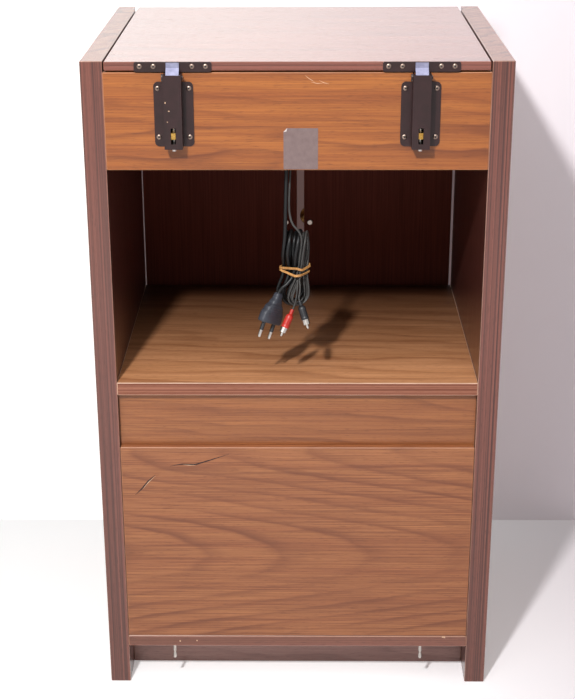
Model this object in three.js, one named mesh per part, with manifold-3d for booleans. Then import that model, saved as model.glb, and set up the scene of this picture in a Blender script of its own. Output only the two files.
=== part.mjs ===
// A record player cabinet seen from behind: a walnut carcass with a sprung lid, an open
// equipment bay, a record compartment behind a lift-off rear panel, two front doors, and a
// deck with its mains and audio leads hanging in a hank. Millimetres, +Z up. The rear faces
// -Y, the doors face +Y, and the origin is under the middle of the cabinet.
import * as THREE from 'three';
import { ConvexGeometry } from 'three/addons/geometries/ConvexGeometry.js';
import { mergeVertices } from 'three/addons/utils/BufferGeometryUtils.js';
import Module from 'manifold-3d';

const wasm = await Module();
wasm.setup();

// ---------------------------------------------------------------- driving sizes
const cabinet = { width: 480, depth: 388, height: 800 };
const fromTop = (distance) => cabinet.height - distance;
const sideThickness = 25;
const boardThickness = 16;
const arris = 0.8;
const seatGap = 0.3;
const round = 16;

const doorRebate = { depth: 2.5, run: 28 };
const shelf = { top: 417, behindDoors: 28.8 };
const upperBox = { bottom: fromTop(123), top: fromTop(12.5) };
const deck = { top: fromTop(103), cutoutWidth: 340, cutoutRear: 60, cutoutFront: 66 };
const leadNotch = { left: -42, right: 32 };
const lid = { thickness: 10, sideGap: 1.7, drop: 0.5 };
const lowerFloor = { bottom: 53, thickness: 15 };
const rearPlinthSetback = 47;
const frontPlinthSetback = 42;
const access = { thickness: 8.7, top: 332.4, sideGap: 0.5, floorGap: 0.4 };
const rail = { height: 90, recess: 9 };
const peg = { radius: 2.1, waist: 1.4, into: 14, below: 20, inset: 57.5 };

const door = { gapLeft: 2.7, gapRight: 4.5, centreGap: 9.7, centreShift: 3.35, topGap: 3, bottomGap: 3 };
const doorPivot = { radius: 3, inset: 13, reach: 6.5 };
const knob = {
  offCentre: 16.6, height: 505.6, radius: 14, foot: 9.8, neck: 7, lip: 10.5,
  neckStart: 4, neckEnd: 8, domeStart: 13, domeEnd: 18, projection: 22,
};
const knobScrew = { shank: 2, head: 4, headHeight: 2.2, engagement: 8 };

const lidHinge = { spread: 137, pivotOut: 9, pivotDrop: 4, pinRadius: 2.5 };
const housing = { width: 20, proud: 18, wall: 1.5, bottom: deck.top + 8, floor: 2 };
const flange = { width: 44, top: upperBox.top - 10, thickness: 1.5, corner: 5 };
const strap = { length: 85.5, height: 11, thickness: 2, corner: 2 };
const tongue = { width: 14.4, plate: 3, boss: 4.6, camStart: 7.2, camDrop: 3 };
const lidSwing = 75;
const plunger = { radius: 6.8, height: 9, stem: 2.8, stemLength: 14 };
const tensionScrew = { radius: 2.4, collar: 4, collarHeight: 2, below: 3.5, top: deck.top + 38 };
const tensionNut = { width: 12, height: 7, centre: deck.top + 23, pointer: 4.4 };
const nutSlot = { width: 5.4, length: 18 };
const spring = { coilRadius: 5, wire: 0.8, turns: 8, steps: 8, sides: 5 };

const deckPlate = {
  width: 400, rear: 34, front: 34, thickness: 4, standoff: 15, footRadius: 9, footSide: 15, footEnd: 14,
};
const platter = { x: 38, rearY: 194, radius: 148, rim: 10, height: 16, top: deck.top + 41, web: 4 };
const spindle = { radius: 3.6, above: 12, shaft: 5, shaftBottom: deck.top + 5, hub: 14, tube: 9 };
const idler = { radius: 22, thickness: 5, bottom: deck.top + 26, pin: 2, angle: -50, hub: 6, cap: 4,
  tyre: 3 };
const motor = { radius: 30, height: 29, pulley: 4, shaft: 2, shaftBelow: 10, angle: 70 };
const arm = {
  x: -146, rearY: 100, length: 222, tube: 4, height: deck.top + 61,
  baseRadius: 22, baseEdge: 6, baseTop: 8, column: 14, columnDrop: 13, boss: 7, bossHalf: 9,
};
const armYoke = { inner: 20, post: 4, above: 5, depth: 12, disc: 15, discHeight: 4, spindle: 3,
  spindleLength: 12, pin: 2 };
const headshell = {
  width: 18, length: 36, thickness: 6, past: 6,
  cartridge: 9, cartridgeInset: 2, cartridgeBack: 26, cartridgeFront: 3,
};
const counterweight = { radius: 15, length: 24, offset: 46, stub: 64 };
const armRest = { radius: 5, reach: 162 };
const cueLever = {
  x: 20 - deckPlate.width / 2, rearY: 110, above: 10, length: 44, width: 4, height: 6, pin: 2,
  heel: 5, ear: 5, earHalf: 6, earTop: 16,
};
const speedKnob = {
  x: 28 - deckPlate.width / 2, rearY: 330, radius: 12, height: 12, stem: 3, ridge: 3, ridgeHeight: 3,
};
const leadBox = { left: -62, right: 44, rear: 84.3, depth: 40, height: 28 };
const relief = { length: 22, wide: 6, slim: 3.4, mainsX: -12, audioX: 1, audioWide: 4.4, audioSlim: 2.4 };
const reliefHeight = deck.top - 2;

const mainsLead = { diameter: 4.4, sides: 10 };
const audioLead = { diameter: 2.6, sides: 8 };
const tailLead = { diameter: 2.2, sides: 8 };

// ---------------------------------------------------------------- derived places
const rearReach = housing.proud;
const frontReach = knob.projection - 1;
const rear = (rearReach - frontReach - cabinet.depth) / 2;
const front = rear + cabinet.depth;
const innerHalf = cabinet.width / 2 - sideThickness;
const doorHalf = innerHalf + doorRebate.depth;
const doorFront = front - 1;
const doorInside = doorFront - boardThickness;
const lowerTop = lowerFloor.bottom + lowerFloor.thickness;
const lidTop = cabinet.height - lid.drop;
const lidBottom = lidTop - lid.thickness;
const pivotY = rear - lidHinge.pivotOut;
const pivotZ = upperBox.top - lidHinge.pivotDrop;
const chassisBottom = deck.top + deckPlate.standoff;
const chassisTop = chassisBottom + deckPlate.thickness;
const pocket = (radius) => radius + seatGap;

// ---------------------------------------------------------------- materials
const finish = (color, roughness, metalness = 0) => () =>
  new THREE.MeshStandardMaterial({ color, roughness, metalness });
const walnut = finish(0x8a5433, 0.42);
const walnutWarm = finish(0xb5713c, 0.4);
const walnutDark = finish(0x4a2a1e, 0.45);
const lidLacquer = finish(0x7b4a36, 0.12);
const brownSteel = finish(0x4f3427, 0.42, 0.3);
const brightSteel = finish(0xc9c6c2, 0.25, 1);
const springSteel = finish(0x8d8a86, 0.35, 1);
const brassFinish = finish(0xb08a45, 0.32, 1);
const castAlloy = finish(0xa9abad, 0.38, 1);
const greySheet = finish(0x5c5e61, 0.5, 0.4);
const darkPlastic = finish(0x1c1c1f, 0.5);
const cordBlack = finish(0x17171a, 0.45);
const cordGrey = finish(0x4d4d50, 0.5);
const redPlastic = finish(0xc8342b, 0.38);
const tanRubber = finish(0xd29a5b, 0.6);
const wheelRubber = finish(0x222222, 0.8);

// ---------------------------------------------------------------- mesh helpers
const model = new THREE.Group();

function add(name, geometry, material) {
  const mesh = new THREE.Mesh(geometry, material());
  mesh.name = name;
  model.add(mesh);
  return mesh;
}

function toSolid(geometry) {
  const bare = new THREE.BufferGeometry();
  bare.setAttribute('position', geometry.getAttribute('position').clone());
  if (geometry.index) bare.setIndex(geometry.index.clone());
  const merged = mergeVertices(bare, 1e-4);
  const source = { numProp: 3, vertProperties: merged.attributes.position.array,
    triVerts: merged.index.array };
  return new wasm.Manifold(new wasm.Mesh({ ...source, triVerts: new Uint32Array(source.triVerts) }));
}

function toGeometry(solid) {
  const mesh = solid.getMesh();
  const geometry = new THREE.BufferGeometry();
  geometry.setAttribute('position', new THREE.BufferAttribute(mesh.vertProperties, 3));
  geometry.setIndex(new THREE.BufferAttribute(mesh.triVerts, 1));
  geometry.computeVertexNormals();
  return geometry;
}

function shaped(base, { cuts = [], joins = [] }) {
  let solid = toSolid(base);
  for (const join of joins) solid = solid.add(toSolid(join));
  for (const cut of cuts) solid = solid.subtract(toSolid(cut));
  return toGeometry(solid);
}

function block(low, high) {
  const size = high.map((value, i) => value - low[i]);
  const geometry = new THREE.BoxGeometry(...size);
  return geometry.translate(...low.map((value, i) => value + size[i] / 2));
}

// A board with a small chamfer on every edge: each corner becomes three points.
function board(low, high, chamfer = arris) {
  const points = [];
  for (let corner = 0; corner < 8; corner += 1) {
    const ends = [corner & 1, (corner >> 1) & 1, (corner >> 2) & 1];
    for (let kept = 0; kept < 3; kept += 1) {
      const place = ends.map((end, i) => {
        const inset = i === kept ? 0 : chamfer;
        return end ? high[i] - inset : low[i] + inset;
      });
      points.push(new THREE.Vector3(...place));
    }
  }
  return new ConvexGeometry(points);
}

// A rod from one point to another along an axis; radius may taper.
function rod(axis, from, to, centre, radius, endRadius = radius, sides = round) {
  const length = to - from;
  const geometry = new THREE.CylinderGeometry(endRadius, radius, length, sides);
  if (axis === 'x') geometry.rotateZ(-Math.PI / 2);
  if (axis === 'z') geometry.rotateX(Math.PI / 2);
  const middle = from + length / 2;
  const place = { x: [middle, ...centre], y: [centre[0], middle, centre[1]], z: [...centre, middle] }[axis];
  return geometry.translate(...place);
}

// A turned piece on a vertical axis; profile points are [radius, height].
function turned(profile, x, y, sides = round) {
  const points = profile.map(([radius, height]) => new THREE.Vector2(radius, height));
  return new THREE.LatheGeometry(points, sides).rotateX(Math.PI / 2).translate(x, y, 0);
}

// A profile in the Y-Z plane, pushed out to a width along X about a centre.
function sideProfile(outline, centreX, width) {
  const shape = new THREE.Shape(outline.map(([y, z]) => new THREE.Vector2(y, z)));
  const geometry = new THREE.ExtrudeGeometry(shape, { depth: width, bevelEnabled: false });
  geometry.applyMatrix4(new THREE.Matrix4().makeBasis(
    new THREE.Vector3(0, 1, 0), new THREE.Vector3(0, 0, 1), new THREE.Vector3(1, 0, 0)));
  return geometry.translate(centreX - width / 2, 0, 0);
}

// A plate in the X-Z plane with rounded corners, from y0 back to y1.
function roundedPlate(centreX, width, bottom, top, y0, y1, corner) {
  const half = width / 2;
  const shape = new THREE.Shape();
  const turns = [[half, bottom, -90], [half, top, 0], [-half, top, 90], [-half, bottom, 180]];
  const outline = [];
  for (const [x, z, start] of turns) {
    const cx = x - Math.sign(x) * corner;
    const cz = z === top ? z - corner : z + corner;
    for (let step = 0; step <= 4; step += 1) {
      const angle = THREE.MathUtils.degToRad(start + step * 22.5);
      outline.push(new THREE.Vector2(cx + corner * Math.cos(angle), cz + corner * Math.sin(angle)));
    }
  }
  shape.setFromPoints(outline);
  const geometry = new THREE.ExtrudeGeometry(shape, { depth: y1 - y0, bevelEnabled: false });
  geometry.rotateX(Math.PI / 2);
  return geometry.translate(centreX, y1, 0);
}

// A tube along hand-placed points, for a lead that hangs free.
function cordTube(points, diameter, sides) {
  const curve = new THREE.CatmullRomCurve3(points.map((p) => new THREE.Vector3(...p)), false, 'centripetal');
  const section = new THREE.Shape();
  const outline = [];
  for (let i = 0; i < sides; i += 1) {
    const angle = 2 * Math.PI * i / sides;
    outline.push(new THREE.Vector2(Math.cos(angle) * diameter / 2, Math.sin(angle) * diameter / 2));
  }
  section.setFromPoints(outline);
  const steps = Math.ceil(curve.getLength() / (2.4 * diameter));
  return new THREE.ExtrudeGeometry(section, { steps, extrudePath: curve, bevelEnabled: false });
}

// A wound tube through every given point, with flat ends, carried without twist.
function woundTube(path, diameter, sides) {
  const count = path.length;
  const tangents = path.map((_, i) =>
    path[Math.min(i + 1, count - 1)].clone().sub(path[Math.max(i - 1, 0)]).normalize());
  let side = new THREE.Vector3(0.31, 0.17, 0.93).cross(tangents[0]).normalize();
  const positions = [];
  for (let i = 0; i < count; i += 1) {
    side.addScaledVector(tangents[i], -side.dot(tangents[i])).normalize();
    const other = tangents[i].clone().cross(side);
    for (let j = 0; j < sides; j += 1) {
      const angle = 2 * Math.PI * j / sides;
      const point = path[i].clone();
      point.addScaledVector(side, Math.cos(angle) * diameter / 2);
      point.addScaledVector(other, Math.sin(angle) * diameter / 2);
      positions.push(...point.toArray());
    }
  }
  const index = [];
  for (let i = 0; i + 1 < count; i += 1) {
    for (let j = 0; j < sides; j += 1) {
      const a = i * sides + j;
      const b = i * sides + (j + 1) % sides;
      index.push(a, b, b + sides, a, b + sides, a + sides);
    }
  }
  const last = (count - 1) * sides;
  for (let j = 1; j + 1 < sides; j += 1) index.push(0, j + 1, j, last, last + j, last + j + 1);
  const geometry = new THREE.BufferGeometry();
  geometry.setAttribute('position', new THREE.Float32BufferAttribute(positions, 3));
  geometry.setIndex(index);
  return geometry;
}

// The least gap of a wound tube to itself, measured on points about a millimetre apart.
function leastGap(path, diameter) {
  const fine = [];
  for (let i = 1; i < path.length; i += 1) {
    const pieces = Math.ceil(path[i].distanceTo(path[i - 1]));
    for (let j = 0; j < pieces; j += 1) fine.push(path[i - 1].clone().lerp(path[i], j / pieces));
  }
  const along = [0];
  for (let i = 1; i < fine.length; i += 1) along.push(along[i - 1] + fine[i].distanceTo(fine[i - 1]));
  let least = Infinity;
  for (let i = 0; i < fine.length; i += 1) {
    for (let j = i + 1; j < fine.length; j += 1) {
      if (along[j] - along[i] > 4 * diameter) least = Math.min(least, fine[i].distanceTo(fine[j]));
    }
  }
  return least - diameter;
}

function pathLength(path) {
  return path.slice(1).reduce((sum, point, i) => sum + point.distanceTo(path[i]), 0);
}

// ---------------------------------------------------------------- carcass
function sidePanel(side) {
  const outer = side * cabinet.width / 2;
  const inner = side * innerHalf;
  const [x0, x1] = side < 0 ? [outer, inner] : [inner, outer];
  const panel = board([x0, rear, 0], [x1, front, cabinet.height]);
  const rebated = side * doorHalf;
  const [r0, r1] = side < 0 ? [rebated, inner + 1] : [inner - 1, rebated];
  return shaped(panel, { cuts: [block([r0, front - doorRebate.run, -1],
    [r1, front + 1, cabinet.height + 1])] });
}

function accessPegPlaces() {
  const y = rear + access.thickness / 2;
  const x = innerHalf - access.sideGap - peg.inset;
  return [[-x, y], [x, y]];
}

function doorPivotPlaces() {
  const y = (doorInside + doorFront) / 2;
  const left = -doorHalf + door.gapLeft + doorPivot.inset;
  const right = doorHalf - door.gapRight - doorPivot.inset;
  return [[left, y], [right, y]];
}

function carcass() {
  add('side_panel_left', sidePanel(-1), walnut);
  add('side_panel_right', sidePanel(1), walnut);
  const rearInside = rear + boardThickness;
  add('upper_rear_panel', board([-innerHalf, rear, upperBox.bottom], [innerHalf, rearInside, upperBox.top]),
    walnutWarm);

  const pivots = doorPivotPlaces();
  const bore = pocket(doorPivot.radius);
  const topBores = pivots.map((p) => rod('z', upperBox.bottom - 1, upperBox.bottom + doorPivot.reach, p,
    bore));
  const fascia = board([-doorHalf, doorInside, upperBox.bottom], [doorHalf, doorFront, upperBox.top]);
  add('upper_front_panel', shaped(fascia, { cuts: topBores }), walnutWarm);

  add('shelf_board', board([-innerHalf, rear, shelf.top - boardThickness],
    [innerHalf, front - shelf.behindDoors, shelf.top]), walnut);
  const railTop = shelf.top - boardThickness;
  add('rear_rail', board([-innerHalf, rear + rail.recess, railTop - rail.height],
    [innerHalf, rear + rail.recess + boardThickness, railTop]), walnut);

  const pegBore = pocket(peg.radius);
  const floorCuts = accessPegPlaces().map((p) => rod('z', lowerFloor.bottom - 1, lowerTop + 1, p, pegBore));
  floorCuts.push(...pivots.map((p) => rod('z', lowerTop - doorPivot.reach, lowerTop + 1, p, bore)));
  const floorBoard = board([-innerHalf, rear, lowerFloor.bottom], [innerHalf, front - 1, lowerTop]);
  add('bottom_board', shaped(floorBoard, { cuts: floorCuts }), walnut);

  const rearPlinth = rear + rearPlinthSetback;
  const frontPlinth = front - frontPlinthSetback;
  add('rear_plinth', board([-innerHalf, rearPlinth, 0],
    [innerHalf, rearPlinth + boardThickness, lowerFloor.bottom]), walnut);
  add('front_plinth', board([-innerHalf, frontPlinth - boardThickness, 0],
    [innerHalf, frontPlinth, lowerFloor.bottom]), walnut);

  const halfCut = deck.cutoutWidth / 2;
  const below = deck.top - boardThickness - 1;
  const cutout = block([-halfCut, rear + deck.cutoutRear, below],
    [halfCut, front - deck.cutoutFront, deck.top + 1]);
  const notch = block([leadNotch.left, rear, below],
    [leadNotch.right, rear + deck.cutoutRear + 1, deck.top + 1]);
  const deckBoard = board([-innerHalf, rearInside, deck.top - boardThickness],
    [innerHalf, doorInside, deck.top]);
  add('deck_board', shaped(deckBoard, { cuts: [cutout, notch] }), walnutDark);
}

// ---------------------------------------------------------------- lid and its hinges
function lidBoard() {
  const half = innerHalf - lid.sideGap;
  add('lid_board', board([-half, rear, lidBottom], [half, front - 1, lidTop]), lidLacquer);
}

// The cam is an involute, so its flat follower gives way evenly as the lid opens.
function tongueOutline() {
  const outline = [];
  const strapFace = rear - strap.thickness;
  outline.push([strapFace, lidTop - 0.5]);
  outline.push([strapFace - tongue.plate, lidTop - 0.5]);
  outline.push([strapFace - tongue.plate, pivotZ + 10]);
  const bossFrom = 125;
  const bossTo = 165;
  for (let i = 0; i <= 3; i += 1) {
    const angle = THREE.MathUtils.degToRad(bossFrom + (bossTo - bossFrom) * i / 3);
    outline.push([pivotY + tongue.boss * Math.cos(angle), pivotZ + tongue.boss * Math.sin(angle)]);
  }
  const rate = tongue.camDrop / THREE.MathUtils.degToRad(lidSwing);
  for (let i = 0; i <= 6; i += 1) {
    const open = THREE.MathUtils.degToRad(lidSwing) * (1 - i / 6);
    const angle = -Math.PI / 2 - open;
    const reach = tongue.camStart - rate * open;
    outline.push([pivotY + reach * Math.cos(angle) - rate * Math.sin(angle),
      pivotZ + reach * Math.sin(angle) + rate * Math.cos(angle)]);
  }
  outline.push([strapFace - 1.5, pivotZ - tongue.boss]);
  outline.push([strapFace, pivotZ - 1]);
  return outline;
}

function springPath(x, from, to) {
  const path = [];
  const steps = spring.turns * spring.steps;
  for (let i = 0; i <= steps; i += 1) {
    const angle = 2 * Math.PI * i / spring.steps;
    const z = from + (to - from) * i / steps;
    path.push(new THREE.Vector3(
      x + spring.coilRadius * Math.cos(angle), pivotY + spring.coilRadius * Math.sin(angle), z));
  }
  return path;
}

function lidHingeSet(side, name) {
  const x = side * lidHinge.spread;
  const half = housing.width / 2;
  const inside = half - housing.wall;
  const outerFace = rear - housing.proud;
  const bottom = housing.bottom;
  const top = upperBox.top;

  const plate = roundedPlate(x, flange.width, bottom, flange.top, rear - flange.thickness, rear,
    flange.corner);
  const channel = block([x - half, outerFace, bottom], [x + half, rear, top]);
  const cavityFront = outerFace + housing.wall;
  const cavity = block([x - inside, cavityFront, bottom + housing.floor],
    [x + inside, rear - flange.thickness, top + 1]);
  const openBack = block([x - inside, cavityFront, flange.top], [x + inside, rear + 1, top + 1]);
  const slotBottom = tensionNut.centre - nutSlot.length / 2;
  const slot = block([x - nutSlot.width / 2, outerFace - 1, slotBottom],
    [x + nutSlot.width / 2, cavityFront + 1, slotBottom + nutSlot.length]);
  const pinBore = rod('x', x - half - 1, x + half + 1, [pivotY, pivotZ], pocket(lidHinge.pinRadius));
  const screwBore = rod('z', bottom - 1, bottom + housing.floor + 1, [x, pivotY],
    pocket(tensionScrew.radius));
  add(`hinge_housing_${name}`, shaped(plate, {
    joins: [channel], cuts: [cavity, openBack, slot, pinBore, screwBore],
  }), brownSteel);

  add(`hinge_strap_${name}`, roundedPlate(x, strap.length, lidTop - strap.height, lidTop,
    rear - strap.thickness, rear, strap.corner), brownSteel);
  const tongueBore = rod('x', x - tongue.width, x + tongue.width, [pivotY, pivotZ],
    pocket(lidHinge.pinRadius));
  add(`hinge_tongue_${name}`, shaped(sideProfile(tongueOutline(), x, tongue.width), { cuts: [tongueBore] }),
    brightSteel);

  const pinHead = rod('x', x - half - 2, x - half - seatGap, [pivotY, pivotZ], lidHinge.pinRadius + 1.6);
  const pinShaft = rod('x', x - half - 1, x + half + 1.5, [pivotY, pivotZ], lidHinge.pinRadius);
  add(`hinge_pin_${name}`, shaped(pinShaft, { joins: [pinHead] }), brightSteel);

  const plungerTop = pivotZ - tongue.camStart - seatGap;
  const plungerBottom = plungerTop - plunger.height;
  add(`hinge_plunger_${name}`, turned([[0, plungerBottom - plunger.stemLength],
    [plunger.stem, plungerBottom - plunger.stemLength], [plunger.stem, plungerBottom],
    [plunger.radius, plungerBottom], [plunger.radius, plungerTop], [0, plungerTop]], x, pivotY), brightSteel);

  const nutLow = tensionNut.centre - tensionNut.height / 2;
  const nutHigh = nutLow + tensionNut.height;
  const nutRear = cavityFront + 1;
  const nutBody = block([x - tensionNut.width / 2, nutRear, nutLow],
    [x + tensionNut.width / 2, rear - flange.thickness - 1, nutHigh]);
  const pointer = block([x - tensionNut.pointer / 2, outerFace + 0.2, nutLow],
    [x + tensionNut.pointer / 2, nutRear + 1, nutHigh]);
  const threadBore = rod('z', nutLow - 1, nutHigh + 1, [x, pivotY], pocket(tensionScrew.radius));
  add(`tension_nut_${name}`, shaped(nutBody, { joins: [pointer], cuts: [threadBore] }), brassFinish);

  const collarLow = bottom + housing.floor + seatGap;
  const collarHigh = collarLow + tensionScrew.collarHeight;
  const r = tensionScrew.radius;
  add(`tension_screw_${name}`, turned([[0, bottom - tensionScrew.below], [r, bottom - tensionScrew.below],
    [r, collarLow], [tensionScrew.collar, collarLow], [tensionScrew.collar, collarHigh],
    [r, collarHigh], [r, tensionScrew.top], [0, tensionScrew.top]], x, pivotY), brightSteel);

  const coil = springPath(x, nutHigh + seatGap + spring.wire, plungerBottom - seatGap - spring.wire);
  add(`hinge_spring_${name}`, woundTube(coil, 2 * spring.wire, spring.sides), springSteel);
  return leastGap(coil, 2 * spring.wire);
}

// ---------------------------------------------------------------- rear access panel
function accessPanel() {
  const half = innerHalf - access.sideGap;
  const bottom = lowerTop + access.floorGap;
  const bores = accessPegPlaces().map((p) => rod('z', bottom - 1, bottom + peg.into + seatGap, p,
    pocket(peg.radius)));
  const panel = board([-half, rear, bottom], [half, rear + access.thickness, access.top]);
  add('access_panel', shaped(panel, { cuts: bores }), walnut);
  const tip = lowerFloor.bottom - peg.below;
  const waistAt = lowerFloor.bottom - peg.below * 0.55;
  const names = ['left', 'right'];
  accessPegPlaces().forEach(([x, y], i) => {
    add(`locating_peg_${names[i]}`, turned([[0, tip], [peg.waist, tip + 0.5], [peg.radius, tip + 2],
      [peg.radius, waistAt - 2.5], [peg.waist, waistAt - 1], [peg.waist, waistAt + 1],
      [peg.radius, waistAt + 2.5], [peg.radius, bottom + peg.into], [0, bottom + peg.into]], x, y, 12),
      brightSteel);
  });
}

// ---------------------------------------------------------------- doors
function doors() {
  const bottom = lowerTop + door.bottomGap;
  const top = upperBox.bottom - door.topGap;
  const meetLeft = door.centreShift - door.centreGap / 2;
  const meetRight = door.centreShift + door.centreGap / 2;
  const spans = [[-doorHalf + door.gapLeft, meetLeft], [meetRight, doorHalf - door.gapRight]];
  const names = ['left', 'right'];
  doorPivotPlaces().forEach((place, i) => {
    const [x0, x1] = spans[i];
    const leaf = board([x0, doorInside, bottom], [x1, doorFront, top]);
    const reach = doorPivot.reach - seatGap;
    const lower = rod('z', lowerTop - reach, bottom + 1, place, doorPivot.radius);
    const upper = rod('z', top - 1, upperBox.bottom + reach, place, doorPivot.radius);
    const x = i === 0 ? -knob.offCentre : knob.offCentre;
    const through = rod('y', doorInside - 1, doorFront + 1, [x, knob.height], pocket(knobScrew.shank));
    add(`door_${names[i]}`, shaped(leaf, { joins: [lower, upper], cuts: [through] }), walnutDark);

    const knobBack = doorFront;
    const grip = new THREE.LatheGeometry([[0, 0], [knob.foot, 0], [knob.neck, knob.neckStart],
      [knob.neck, knob.neckEnd],
      [knob.radius, knob.domeStart], [knob.radius, knob.domeEnd], [knob.lip, knob.projection],
      [0, knob.projection]]
      .map(([a, b]) => new THREE.Vector2(a, b)), 20).translate(x, knobBack, knob.height);
    const socket = rod('y', knobBack - 1, knobBack + knobScrew.engagement + seatGap, [x, knob.height],
      pocket(knobScrew.shank));
    add(`door_knob_${names[i]}`, shaped(grip, { cuts: [socket] }), walnut);

    const headBack = doorInside - seatGap;
    const shank = rod('y', headBack - 1, knobBack + knobScrew.engagement, [x, knob.height], knobScrew.shank);
    const head = rod('y', headBack - knobScrew.headHeight, headBack, [x, knob.height], knobScrew.head * 0.8,
      knobScrew.head);
    add(`knob_screw_${names[i]}`, shaped(shank, { joins: [head] }), brightSteel);
  });
}

// ---------------------------------------------------------------- record deck
function deckPlaces() {
  const hub = [platter.x, rear + platter.rearY];
  const idlerReach = platter.radius - platter.rim - idler.radius - seatGap;
  const a = THREE.MathUtils.degToRad(idler.angle);
  const wheel = [hub[0] + idlerReach * Math.cos(a), hub[1] + idlerReach * Math.sin(a)];
  const b = THREE.MathUtils.degToRad(motor.angle);
  const motorReach = idler.radius + motor.pulley + seatGap;
  const drive = [wheel[0] + motorReach * Math.cos(b), wheel[1] + motorReach * Math.sin(b)];
  const pivot = [arm.x, rear + arm.rearY];
  return { hub, wheel, drive, pivot };
}

function chassis(places) {
  const half = deckPlate.width / 2;
  const low = rear + deckPlate.rear;
  const high = front - deckPlate.front;
  const plate = board([-half, low, chassisBottom], [half, high, chassisTop], 0.6);
  const joins = [];
  for (const x of [-half + deckPlate.footSide, half - deckPlate.footSide]) {
    for (const y of [low + deckPlate.footEnd, high - deckPlate.footEnd]) {
      joins.push(rod('z', deck.top, chassisBottom + 1, [x, y], deckPlate.footRadius));
    }
  }
  joins.push(rod('z', spindle.shaftBottom + 1, chassisBottom + 1, places.hub, spindle.tube));
  const restTop = arm.height - arm.tube - seatGap;
  joins.push(rod('z', chassisTop - 1, restTop, [arm.x, places.pivot[1] + armRest.reach], armRest.radius,
    armRest.radius * 0.7));
  const ear = cueLever.x - cueLever.width / 2 - seatGap;
  const leverY = rear + cueLever.rearY;
  joins.push(block([ear - cueLever.ear, leverY - cueLever.earHalf, chassisTop - 1],
    [ear, leverY + cueLever.earHalf, chassisTop + cueLever.earTop]));
  const boxRear = rear + leadBox.rear;
  joins.push(block([leadBox.left, boxRear, chassisBottom - leadBox.height],
    [leadBox.right, boxRear + leadBox.depth, chassisBottom + 1]));
  const shaftBore = pocket(spindle.shaft);
  const cuts = [
    rod('z', spindle.shaftBottom - 2, chassisTop + 1, places.hub, shaftBore),
    rod('z', chassisBottom - 1, chassisTop + 1, places.wheel, pocket(idler.pin)),
    rod('z', chassisBottom - 1, chassisTop + 1, places.drive, motor.pulley + 1),
    rod('z', chassisBottom - 1, chassisTop + 1, [speedKnob.x, rear + speedKnob.rearY],
      pocket(speedKnob.stem)),
    rod('x', ear - cueLever.ear - 1, ear + 1, [leverY, chassisTop + cueLever.above], pocket(cueLever.pin)),
  ];
  add('deck_chassis', shaped(plate, { joins, cuts }), greySheet);
  return { ear, leverY };
}

function drive(places) {
  const under = platter.top - platter.height;
  const inner = platter.radius - platter.rim;
  const webBottom = platter.top - platter.web;
  add('platter', turned([[0, platter.top + spindle.above],
    [spindle.radius * 0.6, platter.top + spindle.above],
    [spindle.radius, platter.top + spindle.above - 2], [spindle.radius, platter.top],
    [platter.radius, platter.top],
    [platter.radius, under], [inner, under], [inner, webBottom], [spindle.hub, webBottom],
    [spindle.hub, chassisTop + seatGap], [spindle.shaft, chassisTop + seatGap],
    [spindle.shaft, spindle.shaftBottom], [0, spindle.shaftBottom]].reverse(), ...places.hub, 64), castAlloy);

  const idlerTop = idler.bottom + idler.thickness;
  add('idler_wheel', turned([[0, chassisBottom + seatGap], [idler.pin, chassisBottom + seatGap],
    [idler.pin, chassisTop + 2], [idler.hub, chassisTop + 2], [idler.hub, idler.bottom + 1],
    [idler.radius - idler.tyre, idler.bottom + 1],
    [idler.radius, idler.bottom], [idler.radius, idlerTop], [idler.radius - idler.tyre, idlerTop - 1],
    [idler.hub, idlerTop - 1], [idler.cap, idlerTop + 1], [0, idlerTop + 1]], ...places.wheel, 32),
    wheelRubber);

  const motorBottom = chassisBottom - motor.height;
  const shaftBottom = chassisBottom - motor.shaftBelow;
  const can = rod('z', motorBottom, chassisBottom, places.drive, motor.radius, motor.radius, 24);
  const rotorBore = rod('z', shaftBottom - seatGap, chassisBottom + 1, places.drive, pocket(motor.shaft));
  add('drive_motor', shaped(can, { cuts: [rotorBore] }), greySheet);
  add('motor_pulley', turned([[0, shaftBottom], [motor.shaft, shaftBottom], [motor.shaft, idler.bottom - 1],
    [motor.pulley, idler.bottom - 1], [motor.pulley, idlerTop + 1], [0, idlerTop + 1]], ...places.drive),
    brassFinish);
}

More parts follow.
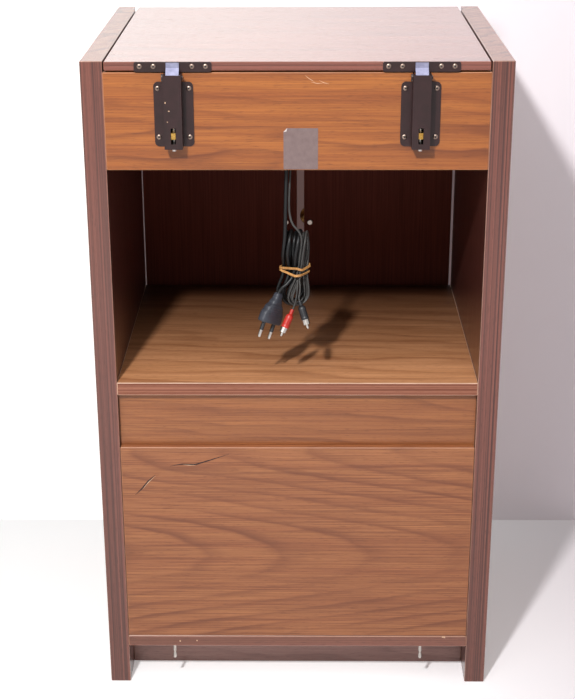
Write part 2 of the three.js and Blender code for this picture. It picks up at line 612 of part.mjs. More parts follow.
function toneArm(places) {
  const [x, y] = places.pivot;
  const columnTop = arm.height - arm.columnDrop;
  const spindleBottom = columnTop - armYoke.spindleLength;
  const base = turned([[0, chassisTop], [arm.baseRadius, chassisTop],
    [arm.baseRadius, chassisTop + arm.baseEdge],
    [arm.column, chassisTop + arm.baseTop], [arm.column, columnTop], [0, columnTop]], x, y, 24);
  const spindleBore = rod('z', spindleBottom - seatGap, columnTop + 1, [x, y], pocket(armYoke.spindle));
  add('arm_base', shaped(base, { cuts: [spindleBore] }), castAlloy);

  const discBottom = columnTop + seatGap;
  const discTop = discBottom + armYoke.discHeight;
  const disc = turned([[0, spindleBottom], [armYoke.spindle, spindleBottom], [armYoke.spindle, discBottom],
    [armYoke.disc, discBottom], [armYoke.disc, discTop], [0, discTop]], x, y, 20);
  const inner = armYoke.inner / 2;
  const posts = [-1, 1].map((side) => {
    const [a, b] = side < 0 ? [-inner - armYoke.post, -inner] : [inner, inner + armYoke.post];
    return block([x + a, y - armYoke.depth / 2, discTop - 1],
      [x + b, y + armYoke.depth / 2, arm.height + armYoke.above]);
  });
  const crossBore = rod('x', x - inner - armYoke.post - 1, x + inner + armYoke.post + 1,
    [y, arm.height], pocket(armYoke.pin));
  add('arm_yoke', shaped(disc, { joins: posts, cuts: [crossBore] }), castAlloy);

  const headEnd = y + arm.length + headshell.past;
  const headStart = headEnd - headshell.length;
  const tube = rod('y', y - counterweight.stub, headStart + 4, [x, arm.height], arm.tube);
  const cross = rod('x', x - inner - armYoke.post + 0.5, x + inner + armYoke.post - 0.5, [y, arm.height],
    armYoke.pin);
  const halfHead = headshell.width / 2;
  const shellBottom = arm.height - arm.tube;
  const shellTop = shellBottom + headshell.thickness;
  const shell = board([x - halfHead, headStart, shellBottom], [x + halfHead, headEnd, shellTop], 1);
  const halfPickup = halfHead - headshell.cartridgeInset;
  const pickup = board([x - halfPickup, headEnd - headshell.cartridgeBack, shellBottom - headshell.cartridge],
    [x + halfPickup, headEnd - headshell.cartridgeFront, shellBottom + 1], 0.8);
  const boss = rod('y', y - arm.bossHalf, y + arm.bossHalf, [x, arm.height], arm.boss);
  add('tonearm', shaped(tube, { joins: [boss, cross, shell, pickup] }), brightSteel);

  const weightFront = y - counterweight.offset + counterweight.length / 2;
  const weight = rod('y', weightFront - counterweight.length, weightFront, [x, arm.height],
    counterweight.radius,
    counterweight.radius, 24);
  const weightBore = rod('y', weightFront - counterweight.length - 1, weightFront + 1, [x, arm.height],
    pocket(arm.tube));
  add('counterweight', shaped(weight, { cuts: [weightBore] }), darkPlastic);
}

function deckControls({ ear, leverY }) {
  const z = chassisTop + cueLever.above;
  const halfWidth = cueLever.width / 2;
  const bar = board([cueLever.x - halfWidth, leverY - cueLever.heel, z - cueLever.height / 2],
    [cueLever.x + halfWidth, leverY + cueLever.length, z + cueLever.height / 2], 0.6);
  const pin = rod('x', ear - cueLever.ear + 0.5, cueLever.x, [leverY, z], cueLever.pin);
  add('cue_lever', shaped(bar, { joins: [pin] }), darkPlastic);

  const low = chassisTop + seatGap;
  const y = rear + speedKnob.rearY;
  const top = low + speedKnob.height;
  const cap = turned([[0, chassisBottom + seatGap], [speedKnob.stem, chassisBottom + seatGap],
    [speedKnob.stem, low], [speedKnob.radius, low], [speedKnob.radius - 1, top - 1],
    [speedKnob.radius - 2, top], [0, top]], speedKnob.x, y, 20);
  const halfRidge = speedKnob.ridge / 2;
  const ridgeReach = speedKnob.radius - speedKnob.ridge;
  const ridge = board([speedKnob.x - halfRidge, y - ridgeReach, top - 1],
    [speedKnob.x + halfRidge, y + ridgeReach, top + speedKnob.ridgeHeight], 0.5);
  add('speed_knob', shaped(cap, { joins: [ridge] }), darkPlastic);
}

function leadTerminals() {
  const low = rear + leadBox.rear;
  const face = low - seatGap;
  const from = face - relief.length;
  add('mains_strain_relief', rod('y', from, face, [relief.mainsX, reliefHeight], relief.slim, relief.wide,
    12), darkPlastic);
  add('audio_strain_relief', rod('y', from, face, [relief.audioX, reliefHeight], relief.audioSlim,
    relief.audioWide, 12), darkPlastic);
}

// ---------------------------------------------------------------- leads
// The hank hangs a little inside the rear plane. Its loops lie edge-on at the top and fan
// out towards the bottom, so the plane that they lie in turns with height.
const bundle = {
  x: -4.3, y: rear + 35, top: deck.top - 98, bottom: deck.top - 195,
  turnTop: THREE.MathUtils.degToRad(84), turnBottom: THREE.MathUtils.degToRad(24),
};
const mainsHank = {
  diameter: mainsLead.diameter, innerRadius: 11.6, pitch: 5.5, halfTurnsPerLayer: 2, layers: 4,
  firstLayer: 8, lastLayer: -7.6, waistNear: 2.6, waistFar: -0.2, waistStep: 1.05,
  top: deck.top - 98, bottom: deck.top - 195, endOfLastRun: 0.5,
};
const audioHank = {
  diameter: audioLead.diameter, innerRadius: 8, pitch: 3.7, halfTurnsPerLayer: 3, layers: 2,
  firstLayer: -11.9, lastLayer: -15.3, waistNear: 1.8, waistFar: 1.8, waistStep: 1.05,
  top: deck.top - 100, bottom: deck.top - 192, endOfLastRun: 0.55,
};
const hankSteps = { run: 5, fold: 7, sides: 6 };

function inBundle(across, layer, z) {
  const share = THREE.MathUtils.smoothstep(z, bundle.bottom, bundle.top);
  const turn = THREE.MathUtils.lerp(bundle.turnBottom, bundle.turnTop, share);
  return new THREE.Vector3(
    bundle.x + across * Math.cos(turn) - layer * Math.sin(turn),
    bundle.y + across * Math.sin(turn) + layer * Math.cos(turn), z);
}

// Half turn by half turn: the loops spiral in on one layer and out on the next, each run is
// drawn in at the waist, and a layer is climbed along the run where the spiral reverses.
function hankPath(hank) {
  const per = hank.halfTurnsPerLayer;
  const total = per * hank.layers;
  const outer = hank.innerRadius + per * hank.pitch / 2;
  const foldTop = hank.top - outer - hank.diameter / 2;
  const foldBottom = hank.bottom + outer + hank.diameter / 2;
  const middle = (foldTop + foldBottom) / 2;
  const radiusOf = (turn) => {
    const inCycle = turn % (2 * per);
    return outer - (inCycle <= per ? inCycle : 2 * per - inCycle) * hank.pitch / 2;
  };
  const layerOf = (index) => THREE.MathUtils.lerp(hank.firstLayer, hank.lastLayer, index / (hank.layers - 1));
  const drawnIn = (side, radius, z) => {
    const share = Math.cos(Math.PI * (z - middle) / (foldTop - foldBottom)) ** 2;
    const waist = (side < 0 ? hank.waistNear : hank.waistFar) + (radius - hank.innerRadius) * hank.waistStep;
    return side * THREE.MathUtils.lerp(radius, waist, share);
  };
  const path = [inBundle(-outer, layerOf(0), foldTop + hank.diameter)];
  for (let turn = 0; turn <= total; turn += 1) {
    const down = turn % 2 === 0;
    const side = down ? -1 : 1;
    const radius = radiusOf(turn);
    const index = Math.min(hank.layers - 1, Math.floor(turn / per));
    const climbs = turn > 0 && turn < total && turn % per === 0;
    const [start, end] = down ? [foldTop, foldBottom] : [foldBottom, foldTop];
    const last = turn === total ? hank.endOfLastRun : 1;
    for (let i = 0; i <= hankSteps.run; i += 1) {
      const share = last * i / hankSteps.run;
      const z = start + (end - start) * share;
      const from = layerOf(climbs ? index - 1 : index);
      const layer = THREE.MathUtils.lerp(from, layerOf(index), THREE.MathUtils.smoothstep(share, 0, 1));
      path.push(inBundle(drawnIn(side, radius, z), layer, z));
    }
    if (turn === total) break;
    for (let i = 1; i < hankSteps.fold; i += 1) {
      const share = i / hankSteps.fold;
      const bent = THREE.MathUtils.lerp(radius, radiusOf(turn + 1), share);
      const z = end + side * bent * Math.sin(Math.PI * share);
      path.push(inBundle(side * bent * Math.cos(Math.PI * share), layerOf(index), z));
    }
  }
  return path;
}

// Hand-chosen points of each free stretch: x, distance from the rear plane, and drop below
// the top of the deck board.
const freeStretches = {
  mains_drop: [[-12, 61.7, 2], [-12, 54, 2.5], [-12, 41, 7.5], [-12.2, 31.5, 20], [-12.8, 26, 42],
    [-13.6, 20.8, 72], [-14.05, 18.9, 97]],
  audio_drop: [[1, 61.7, 2], [0.6, 55.5, 2.3], [-2.5, 45.5, 6.5], [-6.8, 36.5, 18.5], [-8.6, 29.3, 42],
    [-9.5, 24.8, 63], [-8.7, 22, 79], [-5, 20.4, 90], [-0.2, 19.6, 95.4], [3.9, 19.2, 101.5]],
  mains_tail: [[-6.1, 22, 155], [-9.2, 20.2, 159], [-13.1, 18.6, 162.8], [-17, 17.9, 165.7]],
  audio_tail_black: [[2.5, 17.6, 156.5], [3.2, 15, 162.5], [3, 12.4, 169.5], [2, 10, 174.5]],
  audio_tail_red: [[0.2, 15.8, 155.8], [0.3, 14, 162], [-0.2, 12.6, 169], [-1, 11.9, 175.5],
    [-2.3, 10.7, 182.5]],
};
const seam = 0.3;

function fromRear([x, y, drop]) {
  return new THREE.Vector3(x, rear + y, deck.top - drop);
}

// The point just past the end of a wound tube, and a second one a diameter further on.
function straightOn(path, diameter, atStart) {
  const tip = atStart ? path[0] : path[path.length - 1];
  const before = atStart ? path[1] : path[path.length - 2];
  const away = tip.clone().sub(before).normalize();
  return [tip.clone().addScaledVector(away, seam), tip.clone().addScaledVector(away, seam + diameter)];
}

const mainsPlug = {
  cableEnd: [-21.5, 16.8, 172.4], axis: [-0.319, -0.27, -0.908], across: [0.6, 0.685, -0.414],
  length: 37, width: 35, thickness: 14, cableWidth: 10, cableThickness: 8,
  pinLength: 19, pinRadius: 2, pinSpacing: 18.6, sleeve: 10, sleeveRadius: 2.3,
};
const audioPlugs = {
  red: { start: [-5.4, 8, 190], tip: [-19.8, -4, 220] },
  black: { start: [2.7, 8, 179], tip: [13, -4, 210.2] },
};
const audioPlug = { radius: 4.6, neck: 2.2, sleeve: 6, body: 23, shell: 4.1, shellLength: 6, pin: 1.6 };
const band = {
  section: 1.1, near: 13.5, far: 9.4, first: 12.2, last: -18.6, corner: 4.8,
  drops: [150, 143.6], tilt: 1.6, wobble: 6, stretch: 1.7,
};

function buildMainsPlug() {
  const axis = new THREE.Vector3(...mainsPlug.axis).normalize();
  const across = new THREE.Vector3(...mainsPlug.across);
  across.addScaledVector(axis, -across.dot(axis)).normalize();
  const frame = new THREE.Matrix4().makeBasis(across, axis.clone().cross(across), axis);
  frame.setPosition(fromRear(mainsPlug.cableEnd));
  const corners = [];
  const station = (z, width, thickness, chamfer) => {
    for (const [sx, sy] of [[1, 1], [1, -1], [-1, 1], [-1, -1]]) {
      corners.push(new THREE.Vector3(sx * width / 2, sy * (thickness / 2 - chamfer), z));
      corners.push(new THREE.Vector3(sx * (width / 2 - chamfer), sy * thickness / 2, z));
    }
  };
  station(0, mainsPlug.cableWidth - 2, mainsPlug.cableThickness - 2, 1.5);
  station(1.5, mainsPlug.cableWidth, mainsPlug.cableThickness, 2);
  station(mainsPlug.length * 0.72, mainsPlug.width - 1, mainsPlug.thickness, 3);
  station(mainsPlug.length - 2, mainsPlug.width, mainsPlug.thickness, 3);
  station(mainsPlug.length, mainsPlug.width - 3, mainsPlug.thickness - 3, 2);
  const joins = [];
  for (const x of [-mainsPlug.pinSpacing / 2, mainsPlug.pinSpacing / 2]) {
    const from = mainsPlug.length - 1;
    joins.push(rod('z', from, from + mainsPlug.sleeve + 1, [x, 0], mainsPlug.sleeveRadius,
      mainsPlug.sleeveRadius, 12));
    joins.push(rod('z', from, mainsPlug.length + mainsPlug.pinLength - 1, [x, 0], mainsPlug.pinRadius,
      mainsPlug.pinRadius, 12));
    joins.push(rod('z', mainsPlug.length + mainsPlug.pinLength - 1, mainsPlug.length + mainsPlug.pinLength,
      [x, 0], mainsPlug.pinRadius, mainsPlug.pinRadius * 0.5, 12));
  }
  add('mains_plug', shaped(new ConvexGeometry(corners), { joins }).applyMatrix4(frame), darkPlastic);
  return { end: fromRear(mainsPlug.cableEnd), axis };
}

function buildAudioPlug(name, { start, tip }, material) {
  const from = fromRear(start);
  const axis = fromRear(tip).sub(from);
  const length = axis.length();
  axis.normalize();
  const p = audioPlug;
  const outline = [[0, 0], [p.neck, 0], [p.neck + 0.4, p.sleeve], [p.radius, p.sleeve + 3],
    [p.radius, p.body],
    [p.shell, p.body], [p.shell, p.body + p.shellLength], [p.pin, p.body + p.shellLength],
    [p.pin, length - 1.5], [p.pin * 0.5, length], [0, length]];
  const geometry = new THREE.LatheGeometry(outline.map(([a, b]) => new THREE.Vector2(a, b)), 14);
  geometry.applyQuaternion(new THREE.Quaternion().setFromUnitVectors(new THREE.Vector3(0, 1, 0), axis));
  geometry.translate(...from.toArray());
  add(name, geometry, material);
  return { end: from, axis };
}

// One turn of the rubber band: a rounded rectangle round the drawn-in strands.
function bandTurn(height, tilt) {
  const { near, far, first, last, corner, section } = band;
  const outline = [];
  for (const [u, v, start] of [[far, first, 0], [-near, first, 90], [-near, last, 180], [far, last, 270]]) {
    for (let step = 0; step <= 5; step += 1) {
      const angle = THREE.MathUtils.degToRad(start + step * 18);
      const cu = u - Math.sign(u) * corner;
      const cv = v - Math.sign(v) * corner;
      outline.push([cu + corner * Math.cos(angle), cv + corner * Math.sin(angle)]);
    }
  }
  const path = outline.map(([u, v]) => inBundle(u, v, height + tilt * Math.sin(v / band.wobble)));
  return closedTube(path, section, 6);
}

function closedTube(path, radius, sides) {
  const up = new THREE.Vector3(0, 0, 1);
  const positions = [];
  const index = [];
  path.forEach((point, i) => {
    const before = path[(i + path.length - 1) % path.length];
    const ahead = path[(i + 1) % path.length].clone().sub(before).normalize();
    const outward = ahead.clone().cross(up).normalize();
    const above = outward.clone().cross(ahead);
    for (let j = 0; j < sides; j += 1) {
      const angle = 2 * Math.PI * j / sides;
      const corner = point.clone().addScaledVector(outward, radius * Math.cos(angle));
      corner.addScaledVector(above, band.stretch * radius * Math.sin(angle));
      positions.push(...corner.toArray());
      const a = i * sides + j;
      const b = i * sides + (j + 1) % sides;
      const c = ((i + 1) % path.length) * sides + (j + 1) % sides;
      const d = ((i + 1) % path.length) * sides + j;
      index.push(a, c, b, a, d, c);
    }
  });
  const geometry = new THREE.BufferGeometry();
  geometry.setAttribute('position', new THREE.Float32BufferAttribute(positions, 3));
  geometry.setIndex(index);
  return geometry;
}

function leads() {
  const mains = hankPath(mainsHank);
  const audio = hankPath(audioHank);
  add('mains_hank', woundTube(mains, mainsHank.diameter, hankSteps.sides), cordBlack);
  add('audio_hank', woundTube(audio, audioHank.diameter, hankSteps.sides), cordGrey);

  const plug = buildMainsPlug();
  const red = buildAudioPlug('audio_plug_red', audioPlugs.red, redPlastic);
  const black = buildAudioPlug('audio_plug_black', audioPlugs.black, darkPlastic);
  const into = ({ end, axis }, diameter) =>
    [end.clone().addScaledVector(axis, -seam - 0.7 * diameter), end.clone().addScaledVector(axis, -seam)];
  const points = Object.fromEntries(Object.entries(freeStretches).map(([k, list]) => [k,
    list.map(fromRear)]));
  const routes = {
    mains_drop: [...points.mains_drop, ...straightOn(mains, mainsLead.diameter, true).reverse()],
    audio_drop: [...points.audio_drop, ...straightOn(audio, audioLead.diameter, true).reverse()],
    mains_tail: [...straightOn(mains, mainsLead.diameter, false), ...points.mains_tail,
      ...into(plug, mainsLead.diameter)],
    audio_tail_black: [...straightOn(audio, audioLead.diameter, false), ...points.audio_tail_black,
      ...into(black, tailLead.diameter)],
    audio_tail_red: [...points.audio_tail_red, ...into(red, tailLead.diameter)],
  };
  const sizes = {
    mains_drop: [mainsLead, cordBlack], audio_drop: [audioLead, cordGrey], mains_tail: [mainsLead, cordBlack],
    audio_tail_red: [tailLead, cordGrey], audio_tail_black: [tailLead, cordGrey],
  };
  const centreLines = { mains_hank: [mains, mainsHank.diameter], audio_hank: [audio, audioHank.diameter] };
  for (const [name, route] of Object.entries(routes)) {
    const [lead, material] = sizes[name];
    add(name, cordTube(route.map((p) => p.toArray()), lead.diameter, lead.sides), material);
    const curve = new THREE.CatmullRomCurve3(route, false, 'centripetal');
    centreLines[name] = [curve.getSpacedPoints(60), lead.diameter];
  }

  const turns = band.drops.map((drop, i) => bandTurn(deck.top - drop, i ? -band.tilt : band.tilt));
  add('rubber_band', shaped(turns[0], { joins: [turns[1]] }), tanRubber);
  return centreLines;
}

carcass();
lidBoard();
const springGap = Math.min(lidHingeSet(-1, 'left'), lidHingeSet(1, 'right'));
accessPanel();
doors();
const places = deckPlaces();
const lever = chassis(places);
drive(places);
toneArm(places);
deckControls(lever);
leadTerminals();
const centreLines = leads();
for (const name of ['mains_hank', 'audio_hank']) {
  const [path, diameter] = centreLines[name];
  const gap = leastGap(path, diameter).toFixed(2);
  console.log(`${name}: ${pathLength(path).toFixed(0)} mm long, least gap to itself ${gap} mm`);
}
console.log(`least gap of a hinge spring to itself ${springGap.toFixed(2)} mm`);

export default model;
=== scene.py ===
import math
import bpy
import bmesh
from mathutils import Matrix, Vector


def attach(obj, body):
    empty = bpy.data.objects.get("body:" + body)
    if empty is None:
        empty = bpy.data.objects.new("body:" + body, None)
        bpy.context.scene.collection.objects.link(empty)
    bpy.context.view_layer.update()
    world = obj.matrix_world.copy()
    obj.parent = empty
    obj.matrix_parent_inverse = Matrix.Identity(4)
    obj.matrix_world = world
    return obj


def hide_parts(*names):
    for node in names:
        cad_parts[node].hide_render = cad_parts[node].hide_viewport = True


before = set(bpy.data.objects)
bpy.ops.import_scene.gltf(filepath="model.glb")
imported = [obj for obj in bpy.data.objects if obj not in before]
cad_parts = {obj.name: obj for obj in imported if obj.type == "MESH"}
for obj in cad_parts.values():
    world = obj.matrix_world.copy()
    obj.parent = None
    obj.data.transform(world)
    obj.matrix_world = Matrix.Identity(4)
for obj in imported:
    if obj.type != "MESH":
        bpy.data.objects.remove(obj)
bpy.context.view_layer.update()  # frame["bodies"], ["nodes"], ["joints"], ["record"]
print("stage: CAD frame loaded")

rearPlane = -195.5  # the cabinet's back on Y, in mm
deckTop = 697.0     # top of the deck board, in mm


def at(x, inward, z):
    # millimetres from the middle, in from the back and up from the floor
    return Vector((x, rearPlane + inward, z)) * 0.001


def below(x, inward, drop):
    # the leads are laid out by their drop under the deck board's top
    return Vector((x, rearPlane + inward, deckTop - drop))


# camera at the photograph's place
photoCamera = {"place": (0.005583, -1.861, 1.11357), "turn": 0.587, "tilt": 68.574, "roll": -0.1696,
    "lens": 78.13, "sensor": 36.0}
camera = bpy.data.objects.new("camera", bpy.data.cameras.new("camera"))
bpy.context.scene.collection.objects.link(camera)
camera.data.lens = photoCamera["lens"]
camera.data.sensor_width = photoCamera["sensor"]
camera.data.sensor_fit = "AUTO"
camera.data.clip_end = 60
camera.matrix_world = (Matrix.Translation(photoCamera["place"])
    @ Matrix.Rotation(math.radians(photoCamera["turn"]), 4, "Z")
    @ Matrix.Rotation(math.radians(photoCamera["tilt"]), 4, "X")
    @ Matrix.Rotation(math.radians(photoCamera["roll"]), 4, "Z"))
bpy.context.scene.camera = camera
bpy.context.scene.view_settings.view_transform = "Standard"
print("stage: camera set")


def linear(hexColour):
    parts = [int(hexColour[i:i + 2], 16) / 255 for i in (1, 3, 5)]
    return tuple(p / 12.92 if p <= 0.04045 else ((p + 0.055) / 1.055) ** 2.4 for p in parts) + (1.0,)


def addNode(tree, kind, settings=None, links=None):
    # one node: attributes, socket values (by name or number), ramp stops, then its links
    node = tree.nodes.new(kind)
    for name, value in (settings or {}).items():
        if name == "stops":
            ramp = node.color_ramp
            while len(ramp.elements) < len(value):
                ramp.elements.new(1.0)
            for element, (place, colour) in zip(ramp.elements, value):
                element.position = place
                element.color = linear(colour) if isinstance(colour, str) else (colour, colour, colour, 1)
        elif isinstance(name, int) or name in node.inputs:
            node.inputs[name].default_value = value
        else:
            setattr(node, name, value)
    for name, source in (links or {}).items():
        tree.links.new(source, node.inputs[name])
    return node


def startMaterial(name, settings):
    # a Principled shader joined to the output, with its plain numbers on its own sockets
    material = bpy.data.materials.new(name)
    material.use_nodes = True
    tree = material.node_tree
    tree.nodes.clear()
    shader = addNode(tree, "ShaderNodeBsdfPrincipled", settings)
    addNode(tree, "ShaderNodeOutputMaterial", links={"Surface": shader.outputs["BSDF"]})
    return material, tree, shader


def math2(tree, operation, a, b):
    # a sum, product or the like of two sockets or numbers
    settings, links = {"operation": operation}, {}
    for index, value in ((0, a), (1, b)):
        if isinstance(value, (int, float)):
            settings[index] = value
        else:
            links[index] = value
    return addNode(tree, "ShaderNodeMath", settings, links).outputs[0]


def mixColours(tree, factor, a, b):
    settings, links = {"data_type": "RGBA", "clamp_factor": True}, {}
    for index, value in ((0, factor), (6, a), (7, b)):
        if isinstance(value, str):
            settings[index] = linear(value)
        elif isinstance(value, (int, float)):
            settings[index] = value
        else:
            links[index] = value
    return addNode(tree, "ShaderNodeMix", settings, links).outputs[2]


grainTurns = {"x": (0, 0, 0), "y": (0, 0, math.radians(-90)), "z": (0, math.radians(90), 0)}


def flatness(tree, normal):
    # 1 on the flat faces of a board or plate, less on its rounded edges
    powers = [math2(tree, "POWER", math2(tree, "ABSOLUTE", normal.outputs[i], 0), 6) for i in range(3)]
    return math2(tree, "ADD", math2(tree, "ADD", powers[0], powers[1]), powers[2])


def woodMaterial(name, look):
    # sliced walnut under thin lacquer: rings cut into flowing bands and arches, fibre streaks along
    # the board, short dark pores, and arrises rubbed paler
    material, tree, shader = startMaterial(name, {"Coat Weight": look.get("coat", 0.35),
        "Coat Roughness": look.get("coatRoughness", 0.22), "IOR": 1.5,
        "Specular IOR Level": look.get("specular", 0.35)})
    seed = look["seed"]
    place = addNode(tree, "ShaderNodeTexCoord")
    board = addNode(tree, "ShaderNodeMapping", {"Scale": (1000, 1000, 1000),
        "Rotation": grainTurns[look["grain"]]}, {"Vector": place.outputs["Object"]}).outputs[0]
    axes = addNode(tree, "ShaderNodeSeparateXYZ", links={0: board})
    along = axes.outputs[0]
    across = math2(tree, "ADD", axes.outputs[1], axes.outputs[2])

    def boardNoise(length, width, detail, offset=0.0):
        # noise stretched along the grain; length and width are in millimetres
        spread = addNode(tree, "ShaderNodeMapping", {"Scale": (1 / length, 1 / width, 1 / width),
            "Location": (seed + offset, offset, seed)}, {"Vector": board}).outputs[0]
        return addNode(tree, "ShaderNodeTexNoise", {"Scale": 1.0, "Detail": detail, "Roughness": 0.55},
            {"Vector": spread}).outputs["Fac"]

    def boardStreaks(length, width, detail, offset, low, high):
        # the same noise spread between two of its levels
        return addNode(tree, "ShaderNodeMapRange", {"From Min": low, "From Max": high},
            {"Value": boardNoise(length, width, detail, offset)}).outputs[0]

    # the field whose level lines are the rings
    warp = math2(tree, "MULTIPLY", math2(tree, "SUBTRACT", boardNoise(look["waveLength"], look["waveWidth"],
        2.5), 0.5), look["wave"])
    small = math2(tree, "MULTIPLY", math2(tree, "SUBTRACT", boardNoise(55, 14, 2.0, 7.3), 0.5),
        look.get("ripple", 4))
    turn = math2(tree, "MULTIPLY", math2(tree, "SUBTRACT", across, look.get("archCentre", 0)),
        2 * math.pi / look.get("archPeriod", 300))
    arch = math2(tree, "MULTIPLY", math2(tree, "COSINE", turn, 0), look.get("arch", 0))
    slope = math2(tree, "MULTIPLY", along, look.get("slope", 0.02))
    run = math2(tree, "MULTIPLY", across, look["run"])
    field = math2(tree, "ADD", math2(tree, "ADD", math2(tree, "ADD", warp, small),
        math2(tree, "ADD", arch, slope)), run)
    ring = math2(tree, "FRACT", math2(tree, "DIVIDE", field, look["ring"]), 0)
    ringShade = addNode(tree, "ShaderNodeValToRGB", {"stops": [(0.0, 0.2), (0.08, 0.0), (0.6, 0.16),
        (0.9, 1.0), (1.0, 0.2)]}, {"Fac": ring}).outputs[0]
    patchy = addNode(tree, "ShaderNodeMapRange", {"From Min": 0.35, "From Max": 0.65, "To Min": 0.25,
        "To Max": 1.0}, {"Value": boardNoise(260, 45, 1.0, 21.7)}).outputs[0]
    ringShade = math2(tree, "MULTIPLY", math2(tree, "MULTIPLY", ringShade, patchy),
        look.get("ringShade", 0.8))

    broad = boardStreaks(420, 16, 3.0, 3.1, 0.32, 0.68)
    fibre = boardStreaks(110, 1.4, 3.0, 11.0, 0.3, 0.7)
    pore = boardStreaks(11, 0.8, 1.0, 33.0, 0.58, 0.72)

    colour = mixColours(tree, broad, look["pale"], look["mid"])
    colour = mixColours(tree, ringShade, colour, look["dark"])
    colour = mixColours(tree, math2(tree, "MULTIPLY", fibre, look.get("fibreShade", 0.3)), colour,
        look["dark"])
    colour = mixColours(tree, math2(tree, "MULTIPLY", pore, 0.35), colour, look["pore"])
    normal = addNode(tree, "ShaderNodeSeparateXYZ", links={0: place.outputs["Normal"]})
    if "inside" in look:  # the faces turned into the cabinet are darker
        axis, sign, stain = look["inside"]
        facing = math2(tree, "GREATER_THAN", math2(tree, "MULTIPLY", normal.outputs[axis], sign), 0.7)
        dark = mixColours(tree, math2(tree, "MULTIPLY", fibre, 0.5), stain, look.get("stainDark", "#24120F"))
        colour = mixColours(tree, facing, colour, dark)
    if "dim" in look:  # painted shadow of the upper rear panel: darker towards the doors
        near, far, deep, most = look["dim"]
        depth = addNode(tree, "ShaderNodeSeparateXYZ", links={0: place.outputs["Object"]}).outputs[1]
        share = addNode(tree, "ShaderNodeMapRange", {"From Min": near, "From Max": far, "To Max": most},
            {"Value": depth}).outputs[0]
        colour = mixColours(tree, share, colour, deep)
    if "edge" in look:  # lipping on the edge that faces the back: straight stripes along the board
        edgePale, edgeDark = look["edge"]
        back = math2(tree, "LESS_THAN", normal.outputs[1], -0.7)
        stripe = boardStreaks(900, 2.2, 3.0, 61.0, 0.36, 0.64)
        lipping = mixColours(tree, stripe, edgePale, edgeDark)
        lipping = mixColours(tree, math2(tree, "MULTIPLY", pore, 0.4), lipping, look["pore"])
        colour = mixColours(tree, back, colour, lipping)
    rubbed = addNode(tree, "ShaderNodeMapRange", {"From Min": 0.9, "From Max": 0.5, "To Min": 0.0,
        "To Max": look.get("wear", 0.55)}, {"Value": flatness(tree, normal)}).outputs[0]
    rubbed = math2(tree, "MULTIPLY", rubbed, math2(tree, "ADD", boardNoise(30, 8, 2.0, 51.0), 0.3))
    colour = mixColours(tree, rubbed, colour, look.get("arris", "#D8A88A"))
    tree.links.new(colour, shader.inputs["Base Color"])
    rough = addNode(tree, "ShaderNodeMapRange", {"To Min": look["roughness"],
        "To Max": look["roughness"] + 0.14}, {"Value": math2(tree, "MAXIMUM",
        math2(tree, "MULTIPLY", fibre, 0.6), pore)}).outputs[0]
    tree.links.new(rough, shader.inputs["Roughness"])
    relief = math2(tree, "SUBTRACT", math2(tree, "MULTIPLY", fibre, -0.4), math2(tree, "MULTIPLY", pore, 0.6))
    bump = addNode(tree, "ShaderNodeBump", {"Strength": look.get("bump", 0.25), "Distance": 0.0002},
        {"Height": relief})
    tree.links.new(bump.outputs["Normal"], shader.inputs["Normal"])
    return material


def plainMaterial(name, look):
    # paint, plastic, rubber or metal: a fine mottle in colour, roughness and relief
    settings = {"Metallic": look.get("metallic", 0.0), "Coat Weight": look.get("coat", 0.0),
        "Coat Roughness": 0.1}
    if "ior" in look:
        settings["IOR"] = look["ior"]
    material, tree, shader = startMaterial(name, settings)
    place = addNode(tree, "ShaderNodeTexCoord")
    grit = addNode(tree, "ShaderNodeMapping", {"Scale": (1000 / look["grit"],) * 3},
        {"Vector": place.outputs["Object"]}).outputs[0]
    fine = addNode(tree, "ShaderNodeTexNoise", {"Scale": 1.0, "Detail": 3.0, "Roughness": 0.6},
        {"Vector": grit}).outputs["Fac"]
    cloud = addNode(tree, "ShaderNodeTexNoise", {"Scale": 1000 / look["patch"], "Detail": 3.0,
        "Roughness": 0.6}, {"Vector": place.outputs["Object"]}).outputs["Fac"]
    spread = addNode(tree, "ShaderNodeMapRange", {"From Min": 0.3, "From Max": 0.7},
        {"Value": cloud}).outputs[0]
    colour = mixColours(tree, spread, look["colour"], look["second"])
    speck = addNode(tree, "ShaderNodeMapRange", {"From Min": 0.35, "From Max": 0.7,
        "To Max": look.get("speckle", 0.25)}, {"Value": fine}).outputs[0]
    colour = mixColours(tree, speck, colour, look.get("speck", look["second"]))
    if "worn" in look:  # paint rubbed through on the rounded edges
        normal = addNode(tree, "ShaderNodeSeparateXYZ", links={0: place.outputs["Normal"]})
        edge = addNode(tree, "ShaderNodeMapRange", {"From Min": 0.85, "From Max": 0.4, "To Min": 0.0,
            "To Max": 0.6}, {"Value": flatness(tree, normal)}).outputs[0]
        colour = mixColours(tree, math2(tree, "MULTIPLY", edge, spread), colour, look["worn"])
    tree.links.new(colour, shader.inputs["Base Color"])
    change = look.get("roughSpread", 0.06)
    rough = addNode(tree, "ShaderNodeMapRange", {"To Min": look["roughness"] - change,
        "To Max": look["roughness"] + change}, {"Value": fine}).outputs[0]
    tree.links.new(rough, shader.inputs["Roughness"])
    bump = addNode(tree, "ShaderNodeBump", {"Strength": look.get("bump", 0.15),
        "Distance": look.get("relief", 0.0001)}, {"Height": fine})
    tree.links.new(bump.outputs["Normal"], shader.inputs["Normal"])
    return material


